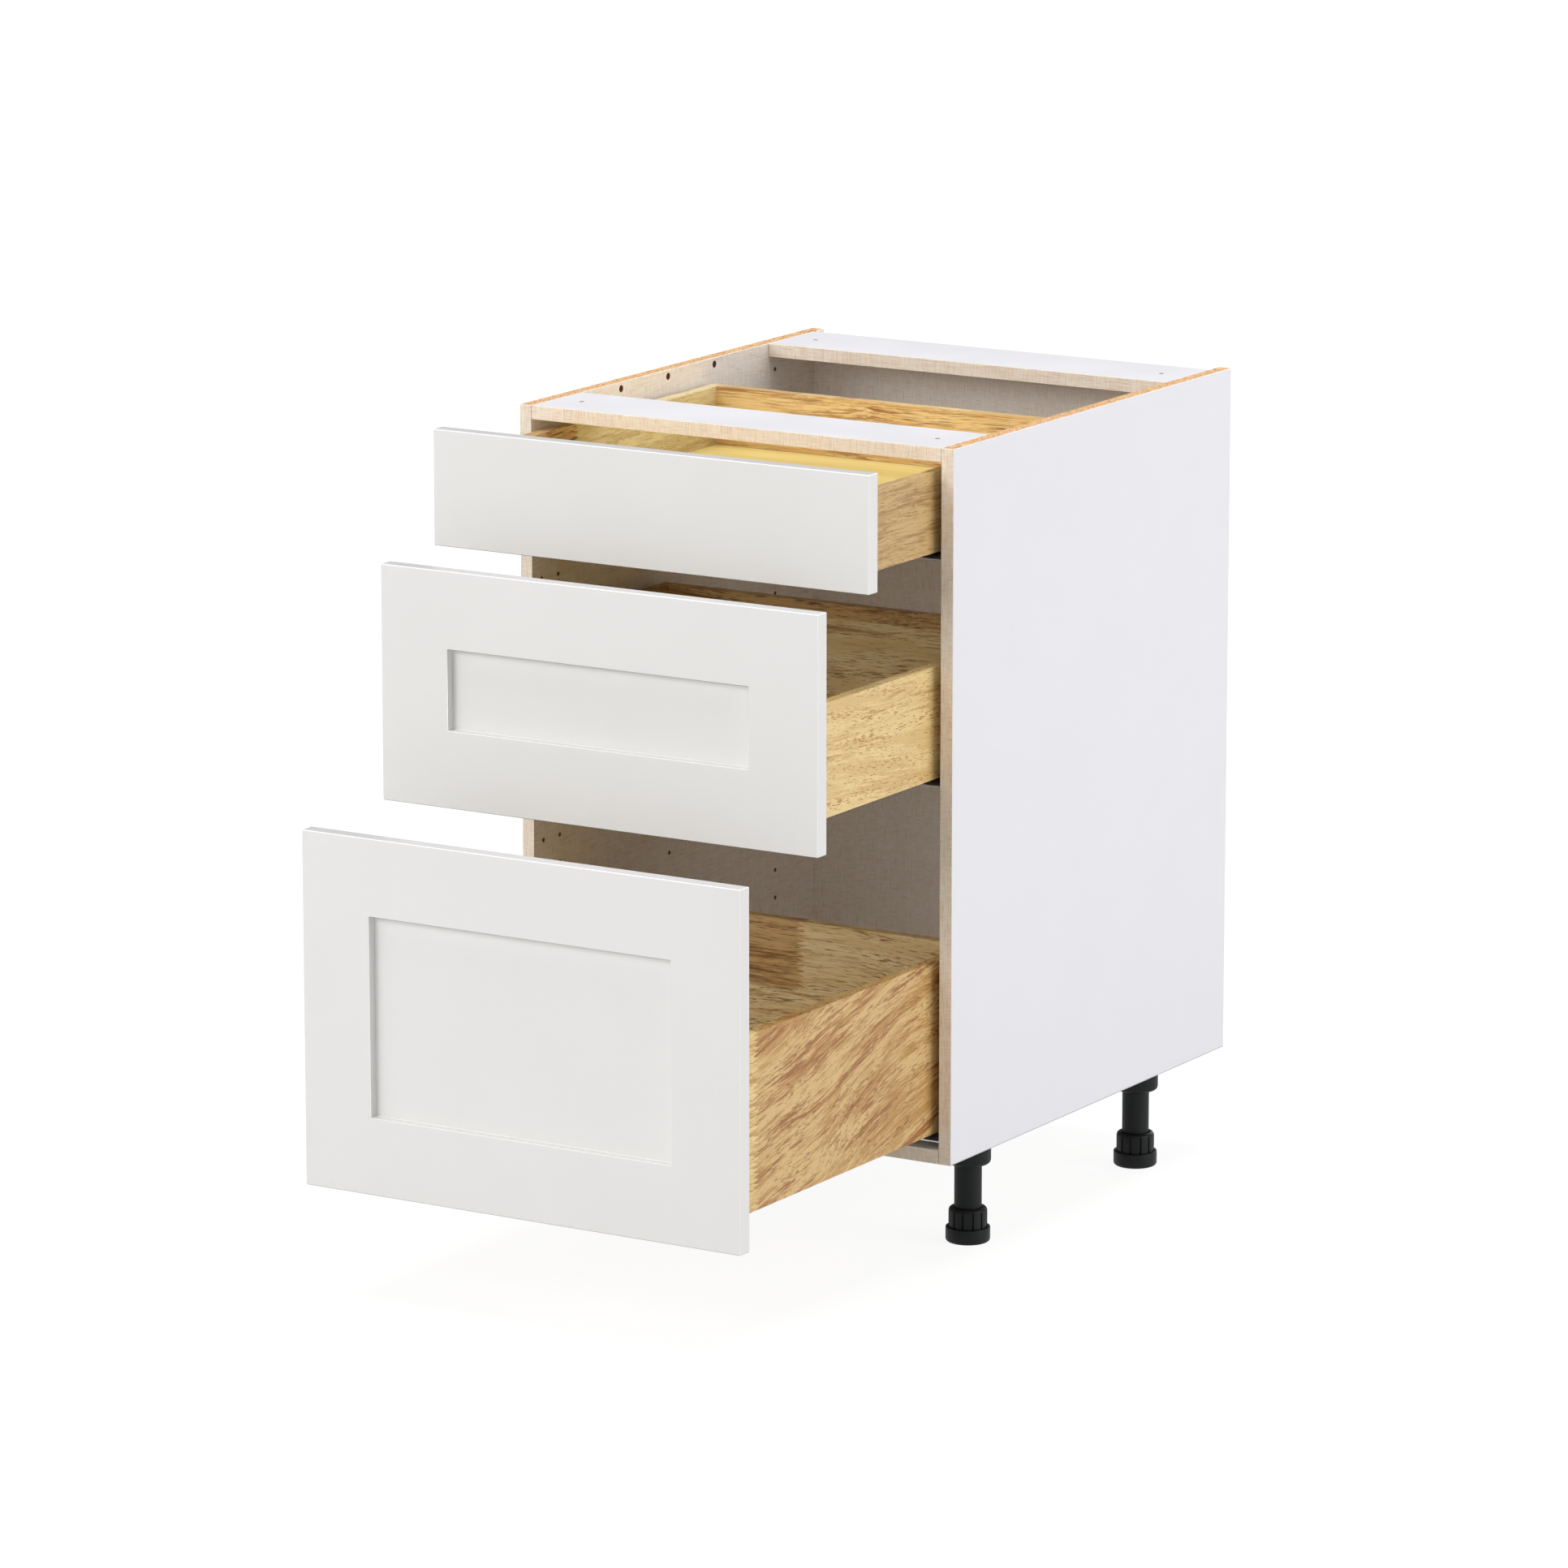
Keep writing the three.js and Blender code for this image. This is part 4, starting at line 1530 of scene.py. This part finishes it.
@dataclass
class Runner:
    """One runner: the rail on the carcass, the middle rail and the rail under the drawer."""

    drawer: str
    side: str
    sheet: float = 1.5 * MM
    bend: float = 1.6 * MM
    lip_start: float = 8.8 * MM
    screw_radius: float = 3.4 * MM
    screw_head: float = 1.7 * MM
    screw_edge: float = 0.6 * MM
    screw_rim: float = 1.1 * MM
    screw_recess: float = 0.9 * MM
    screw_places: tuple[float, ...] = (34 * MM, 258 * MM, 450 * MM)
    screw_rise: float = 19 * MM
    lip_height: float = 13.25 * MM
    bend_steps: int = 4
    long_edge: float = 50 * MM
    SCREW_TOP: ClassVar[float] = 0.9

    @property
    def inwards(self) -> int:
        """The direction of X from the carcass side towards the drawer."""
        return 1 if self.side == "left" else -1

    def build(self) -> None:
        """Builds the three rails and the screws."""
        self.cabinet_rail()
        self.sliding_rail("middle_rail", f"{self.drawer}_middle_rails", web_on_top=False)
        self.sliding_rail("drawer_rail", f"{self.drawer}_drawer", web_on_top=True)

    def channel(self, node: str, web_on_top: bool, walls: tuple[bool, bool]) -> Piece:
        """A sheet channel in the box of its node: a web whose long edges are drawn out as walls.

        Args:
            node: The node that gives its size and place.
            web_on_top: Whether the web is at the top.
            walls: Whether it has a wall at its low X and at its high X.

        Returns:
            The channel's middle surface, not yet bent or thickened.
        """
        low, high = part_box(node)
        half = Vector((self.sheet, 0, self.sheet)) / 2
        low, high = low + half, high - half
        level, far = (high.z, low.z) if web_on_top else (low.z, high.z)
        deselect_all()
        bpy.ops.mesh.primitive_plane_add(
            size=1, location=((low.x + high.x) / 2, (low.y + high.y) / 2, level)
        )
        bpy.ops.transform.resize(value=(high.x - low.x, high.y - low.y, 1))
        rail = settle(f"{node}_sheet")
        for wanted, edge in zip(walls, (low.x, high.x), strict=True):
            if wanted:
                self.draw_wall(rail, edge, low.y - self.sheet, far - level)
        return rail

    def draw_wall(self, rail: Piece, edge: float, start: float, rise: float) -> None:
        """Draws a long edge of the web out into a wall.

        Args:
            rail: The rail.
            edge: The X of the edge.
            start: The Y that the edge starts behind.
            rise: How far the wall rises from the web; less than 0 for a wall that hangs.
        """
        with editing(rail, Pick.EDGES):
            select_edges(lambda a, b: max(abs(a.x - edge), abs(b.x - edge), abs(a.z - b.z)) < TOUCH
                         and min(a.y, b.y) > start and abs(a.y - b.y) > self.long_edge)
            bpy.ops.mesh.extrude_region_move(TRANSFORM_OT_translate={"value": (0, 0, rise)})

    def finish_rail(self, rail: Piece, node: str, body: str) -> None:
        """Rounds the folds, gives the sheet its thickness, and mounts the rail.

        Args:
            rail: The rail's middle surface.
            node: The node that it stands for.
            body: The body that it moves with.
        """
        with editing(rail, Pick.EDGES):
            bpy.ops.mesh.select_all(action="SELECT")
            bpy.ops.mesh.normals_make_consistent(inside=False)
            select_folds()
            bpy.ops.mesh.bevel(offset=self.bend, segments=self.bend_steps, affect="EDGES")
        apply_modifier(rail, "SOLIDIFY", thickness=self.sheet, offset=0.0, use_even_offset=True)
        smooth(rail)
        dress(rail, RAIL_STEEL)
        mount(rail, body, "runner_steel", node)

    def cabinet_rail(self) -> None:
        """The angle that is screwed to the carcass side, with a lip along its inner edge."""
        node = f"{self.drawer}_{self.side}_cabinet_rail"
        low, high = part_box(node)
        left = self.side == "left"
        rail = self.channel(node, False, (left, not left))
        inner = high.x - self.sheet / 2 if left else low.x + self.sheet / 2
        start = low.y + self.lip_start
        with editing(rail, Pick.FACES):
            select_faces(lambda _, normal: abs(normal.z) > FACING)
            bpy.ops.mesh.bisect(plane_co=(0, start, 0), plane_no=(0, 1, 0))
        self.draw_wall(rail, inner, start - self.sheet / 2, self.lip_height)
        self.finish_rail(rail, node, "cabinet")
        self.screws(node)

    def screws(self, node: str) -> None:
        """Pan head screws through the flange, each with a recess for the driver.

        Args:
            node: The node of the rail that they hold.
        """
        low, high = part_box(node)
        flange = (low.x if self.side == "left" else high.x) + self.inwards * self.sheet
        for number, place in enumerate(self.screw_places):
            middle = Vector((flange + self.inwards * self.screw_head / 2, low.y + place,
                             low.z + self.screw_rise))
            screw = rod(f"{node}_screw_{number + 1}", middle, Axis.X, self.screw_radius,
                        self.screw_head)
            with editing(screw, Pick.FACES):
                self.select_top()
                bpy.ops.mesh.bevel(offset=self.screw_edge, segments=2, affect="EDGES")
                self.select_top()
                bpy.ops.mesh.inset(thickness=self.screw_rim)
                bpy.ops.mesh.extrude_region_move(
                    TRANSFORM_OT_translate={"value": (-self.inwards * self.screw_recess, 0, 0)})
            smooth(screw)
            dress(screw, SCREW_STEEL)
            mount(screw, "cabinet", "runner_steel")

    def select_top(self) -> None:
        """Selects the faces on top of the edited screw head."""
        select_faces(lambda _, normal: normal.x * self.inwards > self.SCREW_TOP)

    def sliding_rail(self, part: str, body: str, web_on_top: bool) -> None:
        """A channel with a wall on both sides, which slides.

        Args:
            part: Which rail it is.
            body: The body that it moves with.
            web_on_top: Whether it is open downwards.
        """
        node = f"{self.drawer}_{self.side}_{part}"
        self.finish_rail(self.channel(node, web_on_top, (True, True)), node, body)


# ---- Legs --------------------------------------------------------------------------------


@dataclass
class Leg:
    """The adjustable leg, modelled at one corner and copied to the others.

    Heights are over the floor.
    """

    end: str = "front"
    side: str = "right"
    sides: int = 120
    ribs: int = 12
    rounding_steps: int = 6
    rim_steps: int = 4
    soft_edge: float = 32
    fit: float = 0.3 * MM
    socket_rounding: float = 5 * MM
    socket_roof: float = 6 * MM
    tube_wall: float = 3 * MM
    nut: float = 12 * MM
    shoulder: float = 4.3 * MM
    shoulder_turns: tuple[float, ...] = (0.3, 0.65, 1.0, 1.3)
    groove: float = 1.7 * MM
    groove_skin: float = 0.03
    collar_floor: float = 3 * MM
    collar_height: float = 34.7 * MM
    collar_rim: float = 1.4 * MM
    stem: float = 6 * MM
    thread: float = 0.6 * MM
    thread_pitch: float = 4 * MM
    foot_floor: float = 3 * MM
    foot_rounding: float = 3.5 * MM
    rim_rounding: float = 0.9 * MM

    @property
    def name(self) -> str:
        """The corner's name."""
        return f"{self.end}_{self.side}"

    def radius(self, part: str) -> float:
        """The outer radius of one part of the leg."""
        low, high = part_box(f"{self.name}_{part}")
        return (high.x - low.x) / 2

    def heights(self, part: str) -> tuple[float, float]:
        """The lower and upper end of one part of the leg."""
        low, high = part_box(f"{self.name}_{part}")
        return low.z, high.z

    def axis(self) -> Vector:
        """The point on the floor under the leg's axis."""
        low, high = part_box(f"{self.name}_foot")
        return Vector(((low.x + high.x) / 2, (low.y + high.y) / 2, 0.0))

    def build(self) -> dict[str, Piece]:
        """Builds the four parts of this leg.

        Returns:
            The pieces by the part of the leg.
        """
        pieces = {"socket": self.socket(), "tube": self.tube(), "adjuster": self.adjuster(),
                  "foot": self.foot()}
        for piece in pieces.values():
            smooth(piece, self.soft_edge)
            dress(piece, LEG_PLASTIC)
        return pieces

    def socket(self) -> Piece:
        """The cup under the cabinet that holds the tube.

        Returns:
            The piece.
        """
        radius, rounding = self.radius("socket"), self.socket_rounding
        low, high = self.heights("socket")
        bore = self.radius("tube") + self.fit
        return turned(f"{self.name}_socket_cup", self.axis(), [
            (radius, high),
            *arc((radius - rounding, low + rounding), rounding, 0, -90, self.rounding_steps),
            (bore + self.rim_rounding, low), (bore, low + self.rim_rounding),
            (bore, high - self.socket_roof),
        ], self.sides)

    def tube(self) -> Piece:
        """The tube, closed at the top inside the socket, with the nut at its lower end.

        Returns:
            The piece.
        """
        radius = self.radius("tube")
        low, high = self.heights("tube")
        bore, hollow = self.stem + self.fit, radius - self.tube_wall
        return turned(f"{self.name}_tube_wall", self.axis(), [
            (radius, high), (radius, low), (bore, low), (bore, low + self.nut),
            (hollow, low + self.nut), (hollow, high - self.tube_wall),
        ], self.sides)

    def adjuster(self) -> Piece:
        """The ribbed collar, with the threaded stem that stands in it.

        Returns:
            The piece.
        """
        radius = self.radius("adjuster")
        low, stem_top = self.heights("adjuster")
        top = low + self.collar_height
        bore = self.radius("tube") + 3 * self.fit
        rim, start = bore + self.collar_rim, top - self.shoulder
        outline = [(radius - self.fit, low), (radius, low + self.fit), (radius, start)]
        outline += [(radius - (radius - rim) * (1 - math.cos(turn)),
                     start + self.shoulder * math.sin(turn)) for turn in self.shoulder_turns]
        outline += [(rim, top), (bore, top - self.fit), (bore, low + self.collar_floor),
                    (self.stem, low + self.collar_floor)]
        height = low + self.collar_floor + self.thread_pitch
        while height < stem_top - self.thread_pitch:
            outline += [(self.stem, height),
                        (self.stem - self.thread, height + self.thread_pitch / 4),
                        (self.stem, height + self.thread_pitch / 2)]
            height += self.thread_pitch
        outline.append((self.stem, stem_top))
        collar = turned(f"{self.name}_ribbed_collar", self.axis(), outline, 2 * self.sides)
        axis = self.axis()
        pitch = 2 * math.pi / self.ribs

        def in_groove(at: Vector, normal: Vector) -> bool:
            """Whether a face of the collar's wall is where a groove runs down it.

            Args:
                at: The face's middle.
                normal: The face's normal.

            Returns:
                True where it is.
            """
            turn = math.atan2(at.y - axis.y, at.x - axis.x) % pitch
            on_wall = ((at.xy - axis.xy).length > radius * (1 - self.groove_skin)
                       and low + self.fit < at.z < start and abs(normal.z) < LEANING)
            return on_wall and abs(turn - pitch / 2) < math.pi / self.sides

        with editing(collar, Pick.FACES):
            select_faces(in_groove)
            share = 1 - self.groove / radius
            bpy.ops.transform.resize(value=(share, share, 1), center_override=axis)
        return collar

    def foot(self) -> Piece:
        """The round cup on the floor that the collar turns in.

        Returns:
            The piece.
        """
        radius, rounding, soft = self.radius("foot"), self.foot_rounding, self.rim_rounding
        low, high = self.heights("foot")
        well = self.radius("adjuster") + self.fit
        return turned(f"{self.name}_foot_cup", self.axis(), [
            *arc((radius - rounding, low + rounding), rounding, -90, 0, self.rounding_steps),
            *arc((radius - soft, high - soft), soft, 0, 90, self.rim_steps),
            (well + soft / 2, high), (well, high - soft / 2), (well, low + self.foot_floor),
        ], self.sides)

    def mount_at(self, end: str, side: str, pieces: dict[str, Piece]) -> None:
        """Mounts the leg's parts at a corner.

        Args:
            end: The end of the cabinet.
            side: The side of the cabinet.
            pieces: The pieces by the part of the leg.
        """
        corner = f"{end}_{side}"
        bodies = {"socket": "cabinet", "tube": "cabinet", "adjuster": f"{corner}_screw",
                  "foot": f"{corner}_glide"}
        for part, piece in pieces.items():
            mount(piece, bodies[part], "leg_plastic", f"{corner}_{part}")

    def build_all(self) -> None:
        """Builds this leg and copies it to the other corners."""
        pieces = self.build()
        for end in ("front", "rear"):
            for side in ("left", "right"):
                if (end, side) == (self.end, self.side):
                    continue
                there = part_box(f"{end}_{side}_foot")[0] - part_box(f"{self.name}_foot")[0]
                corner = f"{end}_{side}"
                copies = {part: copy_of(piece, piece.name.replace(self.name, corner), there)
                          for part, piece in pieces.items()}
                self.mount_at(end, side, copies)
        self.mount_at(self.end, self.side, pieces)


# ---- Studio ------------------------------------------------------------------------------


@dataclass(frozen=True)
class Lamp:
    """A broad square lamp."""

    name: str
    place: Triple
    size: float
    power: float

    def hang(self, target: Vector) -> None:
        """Hangs the lamp so that it shines at a point.

        Args:
            target: The point.
        """
        data = bpy.data.lights.new(self.name, "AREA")
        data.size = self.size
        data.energy = self.power
        lamp = bpy.data.objects.new(self.name, data)
        lamp.location = self.place
        lamp.rotation_euler = turn_to(target - Vector(self.place))
        bpy.context.collection.objects.link(lamp)


def turn_to(view: Vector) -> Euler:
    """The turn of a lamp or camera that looks in a direction."""
    return view.to_track_quat("-Z", "Y").to_euler()


@dataclass
class Studio:
    """Plain pale floor, soft light and the camera."""

    target: Triple = (0.0, 0.010, 0.475)
    azimuth: float = 31.40
    elevation: float = 12.32
    distance: float = 8.642
    focal_pixels: float = 9993.0
    image_width: float = 1932.0
    sensor: float = 36.0
    floor_half: float = 40.0
    floor_bounce: float = 0.58
    floor_seen: float = 0.15
    floor_glow: tuple[float, float] = (0.9, 0.975)
    glow_reach: tuple[float, float] = (1.0, 4.0)
    sky: float = 0.22
    view_end: float = 200.0
    lamps: tuple[Lamp, ...] = (
        Lamp("top_lamp", (0.0, 0.0, 6.0), 4.0, 198.0),
        Lamp("front_lamp", (-1.4, -7.0, 3.6), 4.0, 124.0),
        Lamp("key_lamp", (-3.4, -6.2, 3.8), 4.0, 176.0),
        Lamp("left_lamp", (-5.5, -3.5, 2.0), 4.0, 52.0),
        Lamp("camera_lamp", (3.9, -6.4, 2.1), 3.0, 34.0),
        Lamp("side_lamp", (6.0, 1.2, 1.8), 4.0, 202.0),
        Lamp("rear_lamp", (0.0, 7.0, 2.5), 4.0, 150.0),
    )

    def build(self) -> None:
        """Builds the floor, the light and the camera."""
        self.floor()
        self.light()
        self.camera()

    def floor(self) -> None:
        """A wide pale floor that the camera sees as white, with the object's shadow on it."""
        deselect_all()
        bpy.ops.mesh.primitive_plane_add(size=2 * self.floor_half)
        floor = settle("studio_floor")
        material = bpy.data.materials.new("floor_white")
        material.use_nodes = True
        desk = Desk(material.node_tree)
        shader = material.node_tree.nodes["Principled BSDF"]
        rays = desk.add("ShaderNodeLightPath", {})
        seen = desk.maths("MAXIMUM", rays.outputs["Is Camera Ray"], rays.outputs["Is Glossy Ray"])
        bounce, plain = (self.floor_bounce,) * 3, (self.floor_seen,) * 3
        desk.feed(shader.inputs["Base Color"], desk.mix(seen, bounce, plain))
        desk.feed(shader.inputs["Roughness"], 1.0)
        desk.feed(shader.inputs["Specular IOR Level"], 0.0)
        desk.feed(shader.inputs["Emission Color"], (1.0, 1.0, 1.0))
        away = desk.add("ShaderNodeVectorMath", {0: desk.place()}, operation="LENGTH")
        spread = desk.ramp(away.outputs["Value"], *self.glow_reach, self.floor_glow)
        glow = desk.maths("MULTIPLY", seen, spread)
        desk.feed(shader.inputs["Emission Strength"], glow)
        floor.data.materials.append(material)

    def light(self) -> None:
        """An even white sky, seen as pure white, and broad soft lamps."""
        world = bpy.data.worlds.new("studio_sky")
        bpy.context.scene.world = world
        world.use_nodes = True
        desk = Desk(world.node_tree)
        background = world.node_tree.nodes["Background"]
        rays = desk.add("ShaderNodeLightPath", {})
        strength = desk.ramp(rays.outputs["Is Camera Ray"], 0.0, 1.0, (self.sky, 1.0))
        desk.feed(background.inputs["Color"], (1.0, 1.0, 1.0))
        desk.feed(background.inputs["Strength"], strength)
        for lamp in self.lamps:
            lamp.hang(Vector(self.target))

    def camera(self) -> None:
        """The camera at the photograph's viewing angle."""
        turn, rise = math.radians(self.azimuth), math.radians(self.elevation)
        back = Vector((math.sin(turn) * math.cos(rise), -math.cos(turn) * math.cos(rise),
                       math.sin(rise)))
        data = bpy.data.cameras.new("camera")
        data.sensor_width = self.sensor
        data.lens = self.sensor * self.focal_pixels / self.image_width
        data.clip_end = self.view_end
        camera = bpy.data.objects.new("camera", data)
        camera.location = Vector(self.target) + back * self.distance
        camera.rotation_euler = turn_to(-back)
        bpy.context.collection.objects.link(camera)
        bpy.context.scene.camera = camera
        bpy.context.scene.view_settings.view_transform = "Standard"


def main() -> None:
    """Builds the studio and every sub-assembly in order."""
    logging.basicConfig(level=logging.INFO, format="%(name)s: %(message)s")
    Studio().build()
    Carcass().build()
    for drawer in (TOP_DRAWER, MIDDLE_DRAWER, BOTTOM_DRAWER):
        drawer.build()
        for side in ("left", "right"):
            Runner(drawer.name, side).build()
    Leg().build_all()


if __name__ == "__main__":
    main()
